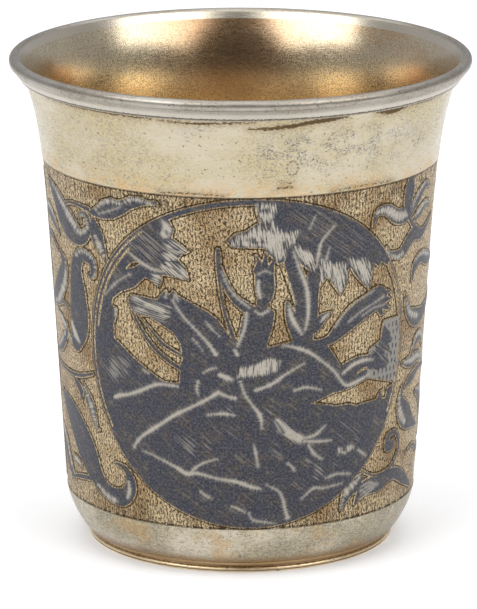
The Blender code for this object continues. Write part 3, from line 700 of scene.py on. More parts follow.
# %% The landscape scene
def landscape_scene(d):
    clip = ring_frame(d)
    d.mass([(-30, 36), (-24.0, 35.6), (-22.6, 36.4), (-20, 35.2), (-16.0, 35.4), (-12, 34.4),
            (-6, 35.6), (0, 36.6), (6, 35.4), (10, 34.6), (16, 36.2), (20, 37.0), (22.2, 39.4),
            (24.4, 38.2), (30, 38.5), (30, 5), (-30, 5)], clip)
    round_tree(d, -13.5, 48.5, 6.4, 0.4)
    round_tree(d, 12.5, 51.0, 5.5, 2.0)
    d.mass([(-4.2, 34.0), (-4.0, 41.0), (0.5, 45.2), (5.0, 41.0), (5.2, 34.0)])
    d.dark((5.0, 36.4, 1.6), (8.2, 36.0, 1.3))
    d.shade("tone", d.area([(-3.7, 35.0), (-3.7, 40.4), (4.6, 40.4), (4.6, 35.0)]), 0.85)
    d.shine((-3.7, 41.1, 0.08), (-1.4, 43.0, 0.18), (0.5, 44.6, 0.10))
    for u in (-2.2, 0.5, 3.2):
        d.shade("tone", d.stroke([(u, 39.2, 0.5), (u, 37.6, 0.5)]), 0.0)
    # a path, banks and tufts of grass on the dark ground
    for path in (((-1.2, 34.6, 0.12), (-3.4, 32.2, 0.40), (-2.0, 29.6, 0.34), (-6.2, 26.8, 0.46),
                  (-12.0, 24.6, 0.36), (-17.5, 20.8, 0.40), (-19.6, 19.6, 0.1)),
                 ((2.4, 34.6, 0.1), (2.0, 31.6, 0.34), (5.8, 28.6, 0.40), (6.2, 25.2, 0.34),
                  (12.4, 21.4, 0.42), (17.0, 20.2, 0.1)),
                 ((-25.4, 31.2, 0.1), (-21.0, 32.8, 0.36), (-16.0, 32.2, 0.1)),
                 ((9.4, 31.4, 0.1), (14.6, 32.6, 0.34), (21.0, 33.4, 0.40), (25.4, 32.4, 0.1)),
                 ((-12.6, 15.6, 0.1), (-7.4, 17.4, 0.40), (-1.6, 15.8, 0.30), (3.6, 16.8, 0.1)),
                 ((2.4, 12.4, 0.1), (7.0, 14.0, 0.36), (12.2, 13.4, 0.1)),
                 ((-6.0, 11.6, 0.1), (-3.0, 12.2, 0.28), (0.4, 10.8, 0.1))):
        d.shine(*path, comb=0.16)
    for u, v in ((-8, 20.4), (1.6, 20.6), (14.6, 26.0), (-17.4, 27.0), (9.0, 17.4), (-12, 29)):
        for blade in (-1.2, -0.3, 0.6, 1.4):
            d.shine((u, v, 0.22), (u + blade * 0.6, v + 1.2, 0.2), (u + blade * 1.3, v + 1.9, 0.05))
    for u, v, half in ((-20.5, 29.6, 1.8), (18.4, 29.4, 1.6), (0.6, 26.2, 1.3), (-3.6, 22.6, 1.2)):
        d.shade("tone", d.stroke([(u - half, v, half * 0.6), (u + half, v, half * 0.6)]), 0.6,
                soft=half)
    for u, v in ((-3.4, 54.4), (0.8, 56.6), (3.0, 52.8)):
        d.dark((u - 1.5, v + 0.5, 0.06), (u - 0.6, v + 0.6, 0.20), (u, v, 0.16),
               (u + 0.6, v + 0.6, 0.20), (u + 1.5, v + 0.5, 0.06))
    d.cut("flush", d.stroke([ring_point(a, 0.55, 0.10) for a in range(60, 236, 8)]))


print("back picture: two trees, a house, paths and grass")


# %% [markdown]
# ## Leaf scrolls
#
# Two columns of acanthus scrolls fill the space between the pictures. Each leaf is niello
# with a bright band along one side. What the photograph shows of a column is one half, so
# the other half is the same leaves turned over.

# %% Leaves at the left of the front picture
def left_scrolls(d):
    d.dark((-36.0, 57.6, 0.15), (-32.0, 59.0, 0.22), (-27.4, 58.8, 0.35))
    d.mass([(-28.2, 58.6), (-27.0, 58.7), (-25.4, 59.8), (-24.3, 60.9), (-22.5, 61.6),
            (-20.9, 61.4), (-20.1, 61.7), (-18.9, 62.4), (-17.0, 62.5), (-15.6, 62.0),
            (-14.5, 62.2), (-13.9, 61.5), (-15.0, 61.5), (-16.6, 61.2), (-18.7, 60.3),
            (-20.2, 59.2), (-22.1, 58.2), (-24.5, 57.8), (-26.6, 58.0)])
    d.shine((-25.6, 59.2, 0.12), (-24.2, 60.5, 0.40), (-22.4, 61.1, 0.46), (-20.8, 60.9, 0.30),
            (-19.9, 61.2, 0.26), (-18.8, 61.9, 0.42), (-17.0, 62.0, 0.40), (-15.6, 61.6, 0.30),
            (-14.5, 61.8, 0.12), comb=0.3)
    d.shine((-25.0, 58.6, 0.06), (-22.8, 59.4, 0.12), (-20.6, 60.4, 0.06))
    d.leaf((-26.4, 57.4, 0.4), (-25.8, 54.6, 1.35), (-24.0, 50.9, 0.15), side=-0.6, start=0.55,
           stop=0.95, share=0.5)
    d.leaf((-40.6, 61.0, 0.3), (-37.6, 59.2, 1.5), (-33.8, 55.6, 2.5), (-30.2, 53.7, 1.4),
           (-27.7, 55.4, 0.7), (-28.1, 57.7, 0.5), (-29.7, 57.4, 0.35), (-29.6, 56.2, 0.2),
           side=1.0, start=0.10, stop=0.95)
    d.leaf((-33.3, 35.6, 1.6), (-32.0, 39.0, 2.7), (-31.8, 44.0, 2.3), (-31.8, 48.2, 1.5),
           (-30.0, 50.8, 1.1), (-27.4, 50.2, 0.9), (-27.2, 48.0, 0.6), (-28.4, 47.8, 0.25),
           side=1.0, start=0.5, stop=0.9, share=0.3)
    d.shine((-34.4, 38.4, 0.5), (-33.4, 36.8, 0.85), (-32.2, 35.8, 0.3))
    d.leaf((-45.6, 40.2, 0.4), (-41.2, 41.6, 1.8), (-37.6, 44.8, 1.9), (-36.0, 48.0, 1.0),
           (-37.4, 49.6, 0.3), side=-1.0, start=0.2, stop=0.8)
    d.dark((-40.0, 40.2, 0.2), (-37.6, 41.2, 0.3), (-35.2, 40.8, 0.25))
    d.shine((-41.0, 38.8, 0.2), (-38.4, 38.0, 0.5), (-36.2, 36.4, 0.4), (-35.2, 35.0, 0.12),
            bare=-0.2)
    d.leaf((-46.3, 54.0, 0.3), (-43.0, 55.6, 1.2), (-39.6, 54.6, 1.0), (-37.2, 52.6, 0.2))
    d.dark((-46.3, 50.4, 0.3), (-42.0, 51.4, 0.5), (-38.6, 49.8, 0.3))
    d.dark((-46.3, 30.2, 0.25), (-38.0, 29.7, 0.3), (-33.0, 30.0, 0.3), (-28.9, 31.2, 0.25))
    d.leaf((-43.6, 32.0, 0.3), (-40.0, 33.6, 1.0), (-37.0, 36.2, 0.7), (-36.6, 38.0, 0.2))
    d.dark((-35.0, 29.2, 0.3), (-33.0, 27.8, 0.7), (-32.6, 26.0, 0.2))
    d.leaf((-31.8, 28.8, 0.3), (-30.0, 26.0, 1.0), (-28.6, 22.4, 0.35), (-27.8, 22.0, 0.12),
           side=0.0, start=0.1, stop=0.9, share=0.55)
    d.leaf((-41.6, 25.2, 0.5), (-36.6, 22.4, 2.5), (-32.4, 18.0, 3.0), (-29.4, 14.0, 1.9),
           (-26.6, 11.9, 1.4), (-23.2, 11.6, 1.5), (-21.2, 13.6, 1.15), (-21.9, 16.4, 0.6),
           (-24.4, 17.3, 0.15), side=-1.0, start=0.42, stop=0.62, share=0.34)
    d.shine((-21.6, 14.6, 0.2), (-21.5, 13.0, 0.5), (-22.0, 11.8, 0.3))
    d.shine((-37.4, 15.2, 0.3), (-36.0, 15.0, 0.6), (-34.4, 14.6, 0.2), bare=-0.2)
    d.leaf((-46.3, 18.6, 0.3), (-42.8, 17.2, 1.7), (-40.0, 13.4, 1.3), (-37.4, 11.4, 0.2))
    d.dark((-39.6, 11.4, 0.2), (-35.4, 12.4, 0.35), (-30.4, 13.2, 0.4))


print("left leaves ready")


# %% Leaves at the right of the front picture, and the stalk
def right_scrolls(d):
    d.leaf((19.7, 56.8, 0.15), (20.4, 58.8, 0.6), (22.6, 58.9, 0.95), (25.0, 57.4, 1.2),
           (27.6, 57.4, 1.3), (29.0, 59.0, 0.2), side=0.0, start=0.14, stop=0.96, share=0.6)
    d.leaf((27.9, 63.0, 0.5), (27.9, 61.2, 1.35), (27.8, 58.8, 1.0), (28.6, 56.6, 0.3), side=0.0,
           start=0.9, stop=0.95)
    d.leaf((29.0, 56.8, 0.3), (30.6, 59.0, 0.9), (33.2, 60.8, 0.7), (35.6, 60.2, 0.15))
    d.leaf((29.4, 55.6, 0.3), (31.6, 56.6, 0.8), (34.2, 57.6, 0.6), (36.6, 56.8, 0.12), side=1.0,
           share=0.5)
    d.leaf((23.0, 52.8, 0.12), (24.0, 51.4, 0.45), (26.8, 51.0, 0.9), (30.2, 53.4, 1.25),
           (33.4, 52.8, 0.8), (38.4, 54.8, 0.2), side=-0.9, start=0.05, stop=0.45, share=0.45)
    d.dark((28.4, 56.4, 0.3), (30.0, 54.8, 0.4), (32.0, 53.4, 0.4))
    d.leaf((30.9, 45.6, 0.3), (31.6, 47.8, 0.8), (34.2, 48.7, 1.0), (38.2, 47.5, 1.1),
           (45.0, 46.4, 0.2), start=0.3, stop=0.8)
    d.leaf((28.9, 43.8, 0.2), (30.4, 40.4, 0.9), (33.4, 38.8, 1.5), (37.6, 38.8, 1.1),
           (44.6, 41.0, 0.2), side=0.4, start=0.12, stop=0.6, share=0.42)
    d.leaf((29.4, 32.0, 0.3), (32.4, 31.6, 1.0), (36.0, 31.6, 0.9), (39.0, 30.4, 0.15), side=0.4,
           share=0.5)
    d.leaf((32.4, 32.6, 0.3), (34.8, 35.0, 0.9), (37.4, 34.6, 0.8), (39.0, 32.6, 0.15), share=0.4)
    d.leaf((31.0, 27.8, 0.3), (33.0, 28.6, 0.8), (37.6, 29.6, 0.5), (44.0, 28.4, 0.15), side=0.0,
           start=0.9, stop=0.95)
    d.leaf((29.8, 28.0, 0.2), (29.6, 25.4, 1.1), (31.6, 22.8, 2.1), (35.0, 20.8, 1.0),
           (38.6, 19.4, 0.15), side=-1.0, start=0.08, stop=0.58, share=0.4)
    d.dark((20.0, 16.0, 0.16), (23.0, 14.6, 0.24), (26.6, 14.7, 0.3), (29.2, 16.5, 0.3),
           (29.7, 19.0, 0.36), (28.2, 20.8, 0.4), (26.2, 20.4, 0.5), (26.2, 18.9, 0.9),
           (27.3, 18.8, 0.95))
    d.leaf((15.8, 10.2, 0.2), (16.9, 12.6, 0.95), (18.8, 14.0, 1.1), (20.2, 15.5, 0.15), side=1.0,
           start=0.06, stop=0.85, share=0.5)
    d.leaf((18.6, 10.6, 0.15), (20.8, 12.9, 1.3), (24.2, 13.0, 1.3), (28.6, 13.7, 1.0),
           (32.4, 12.0, 1.0), (36.6, 9.6, 0.3), side=0.0, start=0.9, stop=0.95)
    for k in range(4):
        d.shine((19.9, 11.2 + 0.7 * k, 0.1), (21.6, 12.0 + 0.55 * k, 0.2),
                (24.0 - 0.4 * k, 12.9 + 0.2 * k, 0.05))
    d.leaf((36.0, 25.6, 0.3), (39.6, 24.4, 1.2), (43.2, 20.8, 1.4), (44.4, 16.4, 0.3))
    d.dark((33.0, 16.0, 0.2), (37.0, 16.4, 0.3), (41.0, 14.4, 0.3), (45.6, 14.8, 0.2))


def stem(d):
    """The stalk in the middle of a column, where its two halves meet."""
    middle = -HALF_TURN / 2
    d.dark((middle, 10.0, 0.2), (middle, 20.0, 0.5), (middle, 33.0, 0.5), (middle, 48.0, 0.5),
           (middle, 60.5, 0.1))
    for low, size in ((10.4, 1.5), (26.2, 1.7), (42.6, 1.7), (56.4, 1.5)):
        d.leaf((middle, low, 0.15), (middle, low + 2.2, size), (middle, low + 5.0, 0.1), side=0.3,
               share=0.16)


print("right leaves and stalk ready")


# %% [markdown]
# ## Combining the drawing
#
# The wall is parted into four sheets, so that each stays light enough to handle. A sheet
# collects every motif that reaches it, each with its place along the wall. The cuts across
# the frieze run through the ground between a picture and its leaves.

# %% Collect the motifs of one sheet
def draw_frieze(u, v):
    """All layers over a grid, with u from -HALF_TURN to HALF_TURN and a little beyond."""
    layers = Drawing(u, v)
    hunting_scene(layers)
    for middle, turned, motifs in ((0.0, False, (left_scrolls, right_scrolls, stem)),
                                   (HALF_TURN, True, (right_scrolls, left_scrolls, stem)),
                                   (-HALF_TURN, True, (right_scrolls, left_scrolls)),
                                   (HALF_TURN, False, (landscape_scene, stem)),
                                   (-HALF_TURN, False, (landscape_scene,))):
        layers.middle, layers.turned = middle, turned
        for motif in motifs:
            motif(layers)
    layers.silver = np.minimum(layers.silver, layers.flush)
    return layers


print("the wall is", 2 * HALF_TURN, "mm round on the drawing")


# %% [markdown]
# ## Turning the wall with geometry nodes
#
# Every ring and wall of the beaker is a profile turned about the axis. The node tree below
# does that: a flat grid has one row for each point of a profile curve, each vertex looks
# up its point by index, and a rotation about Z carries it round. The profile comes in as
# an object, so one tree turns the sheets of the wall, the inside, the rim and the foot.

# %% The turning tree
def turning_tree():
    tree = bpy.data.node_groups.new("turn_a_profile", "GeometryNodeTree")
    face = tree.interface
    face.new_socket("Geometry", in_out="OUTPUT", socket_type="NodeSocketGeometry")
    for name, kind, value in (("Profile", "NodeSocketObject", None),
                              ("Columns", "NodeSocketInt", 96), ("Rows", "NodeSocketInt", 8),
                              ("From", "NodeSocketFloat", 0.0), ("To", "NodeSocketFloat", TAU),
                              ("Finish", "NodeSocketMaterial", None)):
        socket = face.new_socket(name, in_out="INPUT", socket_type=kind)
        if value is not None:
            socket.default_value = value
    nodes, links = tree.nodes, tree.links

    def node(kind, **settings):
        made = nodes.new(kind)
        for key, value in settings.items():
            setattr(made, key, value)
        return made

    inputs, output = node("NodeGroupInput"), node("NodeGroupOutput")
    profile = node("GeometryNodeObjectInfo", transform_space="ORIGINAL")
    grid = node("GeometryNodeMeshGrid")
    grid.inputs["Size X"].default_value = 1.0
    grid.inputs["Size Y"].default_value = 1.0
    index, place = node("GeometryNodeInputIndex"), node("GeometryNodeInputPosition")
    row = node("ShaderNodeMath", operation="MODULO")
    sample = node("GeometryNodeSampleIndex", data_type="FLOAT_VECTOR", domain="POINT")
    across = node("ShaderNodeSeparateXYZ")
    turn = node("ShaderNodeMapRange")
    turn.inputs["From Min"].default_value = -0.5
    turn.inputs["From Max"].default_value = 0.5
    spin = node("ShaderNodeVectorRotate", rotation_type="Z_AXIS")
    move = node("GeometryNodeSetPosition")
    smooth = node("GeometryNodeSetShadeSmooth")
    finish = node("GeometryNodeSetMaterial")
    realize = node("GeometryNodeRealizeInstances")
    for source, sink in (
            (inputs.outputs["Profile"], profile.inputs["Object"]),
            (inputs.outputs["Columns"], grid.inputs["Vertices X"]),
            (inputs.outputs["Rows"], grid.inputs["Vertices Y"]),
            (index.outputs[0], row.inputs[0]),
            (inputs.outputs["Rows"], row.inputs[1]),
            (profile.outputs["Geometry"], sample.inputs["Geometry"]),
            (place.outputs[0], sample.inputs["Value"]),
            (row.outputs[0], sample.inputs["Index"]),
            (place.outputs[0], across.inputs[0]),
            (across.outputs["X"], turn.inputs["Value"]),
            (inputs.outputs["From"], turn.inputs["To Min"]),
            (inputs.outputs["To"], turn.inputs["To Max"]),
            (sample.outputs[0], spin.inputs["Vector"]),
            (turn.outputs["Result"], spin.inputs["Angle"]),
            (grid.outputs["Mesh"], move.inputs["Geometry"]),
            (spin.outputs[0], move.inputs["Position"]),
            (move.outputs[0], smooth.inputs["Geometry"]),
            (smooth.outputs[0], realize.inputs[0]),
            (realize.outputs[0], finish.inputs["Geometry"]),
            (inputs.outputs["Finish"], finish.inputs["Material"]),
            (finish.outputs[0], output.inputs[0])):
        links.new(source, sink)
    return tree


TURNING = turning_tree()
INPUTS = {item.name: item.identifier for item in TURNING.interface.items_tree
          if item.item_type == "SOCKET" and item.in_out == "INPUT"}


def turned(name, profile, columns, finish, start=-math.pi, stop=math.pi):
    """A plain mesh object: a profile of (radius, height) in mm turned about the axis.

    Angle 0 faces -Y and grows towards +X, as u does on the frieze.
    """
    data = bpy.data.curves.new(name + "_profile", "CURVE")
    data.dimensions = "3D"
    line = data.splines.new("POLY")
    line.points.add(len(profile) - 1)
    for point, (radius, height) in zip(line.points, profile):
        point.co = (0.0, -radius * MM, height * MM, 1.0)
    guide = bpy.data.objects.new(name + "_profile", data)
    bpy.context.scene.collection.objects.link(guide)
    maker = bpy.data.objects.new(name + "_maker", bpy.data.meshes.new(name + "_maker"))
    bpy.context.scene.collection.objects.link(maker)
    modifier = maker.modifiers.new("Turn", "NODES")
    modifier.node_group = TURNING
    for key, value in (("Profile", guide), ("Columns", columns), ("Rows", len(profile)),
                       ("From", start), ("To", stop), ("Finish", finish)):
        modifier[INPUTS[key]] = value
    depsgraph = bpy.context.evaluated_depsgraph_get()
    mesh = bpy.data.meshes.new_from_object(maker.evaluated_get(depsgraph))
    mesh.name = name
    bpy.data.objects.remove(maker)
    bpy.data.objects.remove(guide)
    piece = bpy.data.objects.new(name, mesh)
    bpy.context.scene.collection.objects.link(piece)
    return piece


def spread(start, stop, steps):
    """Even values from start to stop."""
    return start + (stop - start) * np.linspace(0.0, 1.0, steps + 1)


print("turning tree has", len(TURNING.nodes), "nodes")

# %% [markdown]
# ## Building a finish from nodes
#
# Finishes are built by a small helper: each call adds one node, sets its plain numbers on
# its own sockets and links the rest, so a finish reads from top to bottom.

# %% Helper for finishes
class Finish:
    """A material under construction."""

    def __init__(self, name):
        self.material = bpy.data.materials.new(name)
        self.material.use_nodes = True
        self.nodes = self.material.node_tree.nodes
        self.links = self.material.node_tree.links
        self.shader = self.nodes["Principled BSDF"]

    def put(self, value, socket):
        if isinstance(value, bpy.types.NodeSocket):
            self.links.new(value, socket)
        elif value is not None:
            socket.default_value = value

    def node(self, kind, values=(), out=0, **settings):
        made = self.nodes.new(kind)
        for key, value in settings.items():
            setattr(made, key, value)
        pairs = values.items() if isinstance(values, dict) else enumerate(values)
        for key, value in pairs:
            self.put(value, made.inputs[key])
        return made.outputs[out]

    def math(self, operation, a, b=None, c=None, clamp=False):
        return self.node("ShaderNodeMath", (a, b, c), operation=operation, use_clamp=clamp)

    def times(self, a, b):
        return self.math("MULTIPLY", a, b)

    def axis(self, vector, name):
        return self.node("ShaderNodeSeparateXYZ", (vector,), out=name)

    def height(self):
        """Height above the table in millimetres."""
        return self.times(self.axis(self.place(), "Z"), 1.0 / MM)

    def number(self, name):
        return self.node("ShaderNodeAttribute", out="Fac", attribute_name=name)

    def place(self):
        return self.node("ShaderNodeTexCoord", out="Object")

    def solid_noise(self, across, up, detail=4.0, roughness=0.55):
        """Noise in the metal itself, its scales per millimetre, without a seam at the back."""
        place = self.node("ShaderNodeVectorMath",
                          (self.place(), (across / MM, across / MM, up / MM)),
                          operation="MULTIPLY")
        return self.noise(place, detail=detail, roughness=roughness)

    def unrolled(self):
        return self.node("ShaderNodeUVMap", uv_map="Unrolled")

    def stretched(self, vector, scale, turn=0.0):
        return self.node("ShaderNodeMapping", {"Vector": vector, "Scale": scale,
                                               "Rotation": (0.0, 0.0, turn)})

    def noise(self, vector, scale=1.0, detail=3.0, roughness=0.55):
        return self.node("ShaderNodeTexNoise", {"Vector": vector, "Scale": scale,
                                                "Detail": detail, "Roughness": roughness})

    def step(self, value, low, high):
        return self.node("ShaderNodeMapRange", {"Value": value, "From Min": low,
                                                "From Max": high},
                         interpolation_type="SMOOTHSTEP")

    def blend(self, share, a, b):
        """Blend two colours, or two numbers, by a share."""
        colours = any(isinstance(x, tuple) or getattr(x, "type", "") == "RGBA" for x in (a, b))
        kind = "RGBA" if colours else "FLOAT"
        made = self.nodes.new("ShaderNodeMix")
        made.data_type = kind
        sockets = [s for s in made.inputs if s.enabled]
        for value, socket in zip((share, a, b), sockets):
            self.put(value, socket)
        return next(s for s in made.outputs if s.enabled)

    def tint(self, colour, share, strength, over):
        """Lay a colour over another by a share times a strength."""
        return self.blend(self.times(share, strength), colour, over)

    def bump(self, height, distance, strength):
        return self.node("ShaderNodeBump", {"Height": height, "Distance": distance,
                                            "Strength": strength})

    def finish(self, **values):
        names = {"colour": "Base Color", "metal": "Metallic", "rough": "Roughness",
                 "normal": "Normal"}
        for key, value in values.items():
            self.put(value, self.shader.inputs[names[key]])
        return self.material


def paint(red, green, blue):
    """A colour as the eye reads it, 0 to 255, turned into the shader's linear colour."""
    linear = [((c / 255 + 0.055) / 1.055) ** 2.4 for c in (red, green, blue)]
    return (*linear, 1.0)


print("a mid grey is", [round(c, 3) for c in paint(128, 128, 128)])

# %% [markdown]
# ## The finish of the frieze
#
# Three things meet in the frieze. The ground is gilt and covered with short upright cuts
# of a tracing tool. Flush with the wall lies the niello, a dull blue-black. Where silver
# was left bare inside it, the edge is combed by fine parallel cuts, so the distance to the
# bright strokes is nudged by a wave along the cuts before it is tested.

# %% Niello, bright silver and tooled gilt
GILT_LIGHT, GILT_WARM = paint(204, 183, 147), paint(166, 139, 102)
# the dark colour of the engraved lines is painted shade in their grooves
GILT_DARK, GROOVE_SHADE = paint(62, 52, 40), paint(42, 35, 28)
SILVER, SILVER_CUT, HALF_TONE = paint(175, 169, 157), paint(62, 60, 62), paint(130, 125, 117)
NIELLO_BLUE, NIELLO_BROWN = paint(34, 37, 54), paint(56, 48, 43)
NIELLO_PALE, NIELLO_DEEP = paint(98, 96, 99), paint(12, 12, 18)
SCORED, DULLED, GILT_EDGE = paint(132, 124, 112), paint(122, 114, 104), paint(164, 150, 120)
BORDER_LINE = (FRIEZE_TOP - FRIEZE_LOW) / 2 - 0.15


def frieze_finish():
    f = Finish("niello_and_tooled_gilt")
    flush, silver = f.number("flush"), f.number("silver")
    tone, grain = f.number("tone"), f.number("grain")
    comb, cuts = f.number("comb"), f.number("cuts")
    flat = f.unrolled()
    up = f.axis(flat, "Y")

    cloud = f.solid_noise(0.15, 0.15)
    fine = f.noise(f.stretched(flat, (4.2, 4.2, 1.0)), detail=3.0)
    ragged = f.math("MULTIPLY_ADD", fine, 0.30, -0.15)

    # fine cuts that comb the edges of the bright places
    lane = f.node("ShaderNodeCombineXYZ", (f.times(grain, 4.0),
                                           f.times(up, 0.35), 0.0))
    teeth = f.math("SUBTRACT", f.noise(lane, detail=2.0, roughness=0.7), 0.5)
    silver_edge = f.math("ADD", f.math("MULTIPLY_ADD", f.times(teeth, 2.6), comb,
                                       silver), ragged)
    hatch = f.math("SINE", f.times(grain, 44.0))
    bright = f.step(f.math("MULTIPLY_ADD", hatch, 0.07, silver_edge), -0.24, 0.26)
    streak = f.step(f.math("ADD", teeth, f.times(silver_edge, 0.10)), -0.09, 0.07)
    streak = f.math("MAXIMUM", streak, f.step(comb, 0.42, 0.12))

    # graver lines in the niello, and half-tones made of them
    slant = f.stretched(flat, (1.0, 1.0, 1.0), math.radians(-52))
    lines = f.noise(f.node("ShaderNodeVectorMath", (slant, (3.4, 0.16, 1.0)),
                           operation="MULTIPLY"), detail=1.0)
    line = f.step(lines, 0.50, 0.62)
    half_tone = f.step(f.math("ADD", f.times(tone, 0.6), lines), 0.76, 0.88)
    half_tone = f.times(half_tone, f.math("MULTIPLY", tone, 1.4, clamp=True))
    patch = f.solid_noise(0.5, 0.5, roughness=0.7)
    niello = f.blend(f.step(patch, 0.46, 0.62), NIELLO_BLUE, NIELLO_BROWN)
    grit = f.noise(f.stretched(flat, (2.6, 2.6, 1.0)), detail=3.0, roughness=0.8)
    niello = f.tint(niello, f.step(grit, 0.48, 0.64), 0.62, NIELLO_PALE)
    niello = f.tint(niello, f.step(grit, 0.50, 0.38), 0.8, NIELLO_DEEP)
    scored = f.math("MULTIPLY_ADD", f.step(patch, 0.50, 0.64), 0.32, cuts)
    niello = f.blend(f.times(line, scored), niello, SCORED)
    niello = f.blend(half_tone, niello, HALF_TONE)
    metal_grey = f.blend(streak, SILVER_CUT, SILVER)
    metal_grey = f.tint(metal_grey, f.step(fine, 0.47, 0.66), 0.5, DULLED)
    fringe = f.times(f.step(silver, -0.62, -0.04), f.step(teeth, -0.02, 0.09))
    niello = f.tint(niello, fringe, 0.65, HALF_TONE)
    inlay = f.blend(bright, niello, metal_grey)

    # tooled gilt ground: short upright cuts, longer and darker beside the border lines
    middle = f.math("ABSOLUTE", f.math("SUBTRACT", up, PICTURE_MIDDLE))
    beside = f.step(middle, BORDER_LINE - 3.96, BORDER_LINE - 0.76)
    bent = f.node("ShaderNodeVectorMath", (flat, f.node("ShaderNodeVectorMath", (
        f.noise(f.stretched(flat, (0.5, 0.5, 1.0))), (1.5, 0.0, 0.0)), operation="MULTIPLY")),
        operation="ADD")
    dashes = f.noise(f.stretched(bent, (5.4, 1.8, 1.0)), detail=2.0, roughness=0.65)
    strings = f.math("SINE", f.times(f.axis(bent, "X"), 10.5))
    dashes = f.math("MULTIPLY_ADD", strings, 0.05, dashes)
    long_cuts = f.noise(f.stretched(flat, (2.7, 0.30, 1.0)), detail=1.0)
    grains = f.noise(f.stretched(flat, (6.0, 5.0, 1.0)), detail=2.0, roughness=0.7)
    cut = f.math("ADD", f.step(f.math("ADD", f.times(dashes, 0.6),
                                      f.times(grains, 0.4)), 0.472, 0.555),
                 f.times(f.step(long_cuts, 0.55, 0.63),
                        f.times(beside, 0.7)), clamp=True)
    ground = f.blend(f.step(cloud, 0.40, 0.70), GILT_LIGHT, GILT_WARM)
    ground = f.tint(ground, cut, 0.9, GILT_DARK)

    # the engraved outline: a groove a little outside each shape, its dark colour painted shade
    off = f.math("ABSOLUTE", f.math("ADD", f.math("ADD", flush, ragged), 0.24))
    shaded_groove = f.math("SUBTRACT", 1.0, f.step(off, 0.05, 0.14))
    frame_line = f.math("ABSOLUTE", f.math("SUBTRACT", middle, BORDER_LINE))
    frame_line = f.math("SUBTRACT", 1.0, f.step(f.math("ADD", frame_line, ragged), 0.04, 0.15))
    shaded_groove = f.math("MAXIMUM", f.times(shaded_groove, f.step(fine, 0.28, 0.46)),
                    f.times(frame_line, f.step(long_cuts, 0.36, 0.44)))
    ground = f.tint(ground, shaded_groove, 0.9, GROOVE_SHADE)

    inlaid = f.step(f.math("MULTIPLY_ADD", ragged, 0.5, flush), 0.0, 0.06)
    lining = f.times(f.math("SUBTRACT", 1.0, f.step(flush, 0.03, 0.13)), inlaid)
    inlay = f.blend(f.times(lining, f.step(grains, 0.46, 0.56)), inlay, GILT_EDGE)
    colour = f.blend(inlaid, ground, inlay)
    metal = f.blend(inlaid, 1.0, bright)
    rough = f.blend(inlaid, f.blend(cut, 0.38, 0.6), f.blend(bright, 0.5, 0.38))
    height = f.blend(inlaid, f.math("MAXIMUM", cut, f.times(shaded_groove, 1.6)),
                     f.times(line, cuts))
    return f.finish(colour=colour, metal=metal, rough=rough,
                    normal=f.bump(height, -0.00006, 0.8))


FRIEZE_FINISH = frieze_finish()
print("frieze finish has", len(FRIEZE_FINISH.node_tree.nodes), "nodes")

# %% [markdown]
# ## The finish of the plain gilt bands
#
# The bands above and below the frieze are burnished gilding, rubbed through to grey silver
# where fingers hold the beaker, with pinprick pits and short scratches.

# %% Rubbed gilding
PIT = paint(66, 56, 36)


def gilt_finish(name, light, warm, rubbed, wear, rough=0.28):
    """Gilding worn through to grey in clouds of fine specks.

    Returns the finish under construction, its colour, its roughness and its bump.
    """
    f = Finish(name)
    cloud = f.solid_noise(0.07, 0.11, detail=5.0, roughness=0.6)
    brushed = f.solid_noise(0.5, 3.6, detail=3.0)
    specks = f.solid_noise(2.6, 3.2, roughness=0.75)
    pits = f.solid_noise(1.5, 2.2, detail=2.0, roughness=0.8)
    gilt = f.blend(f.step(cloud, 0.35, 0.65), light, warm)
    gilt = f.tint(gilt, f.step(brushed, 0.35, 0.75), 0.3, warm)
    worn = f.times(f.step(specks, wear, wear + 0.12), f.step(cloud, 0.40, 0.60))
    colour = f.tint(gilt, worn, 0.8, rubbed)
    colour = f.tint(colour, f.step(pits, 0.65, 0.70), 0.8, PIT)
    coarse = f.blend(f.step(brushed, 0.3, 0.7), rough - 0.05, rough + 0.06)
    coarse = f.tint(coarse, worn, 0.6, 0.5)
    height = f.math("ADD", f.times(brushed, 0.3), f.times(specks, 0.4))
    return f, colour, coarse, f.bump(height, 0.00004, 0.5)


def border_line(f, colour, height_mm):
    """The engraved line at a border of the frieze, its dark colour painted shade in the groove."""
    up = f.height()
    off = f.math("ABSOLUTE", f.math("SUBTRACT", up, height_mm))
    return f.tint(colour, f.math("SUBTRACT", 1.0, f.step(off, 0.05, 0.16)), 0.75, GROOVE_SHADE)


print("gilding worn to grey in specks, with pits")


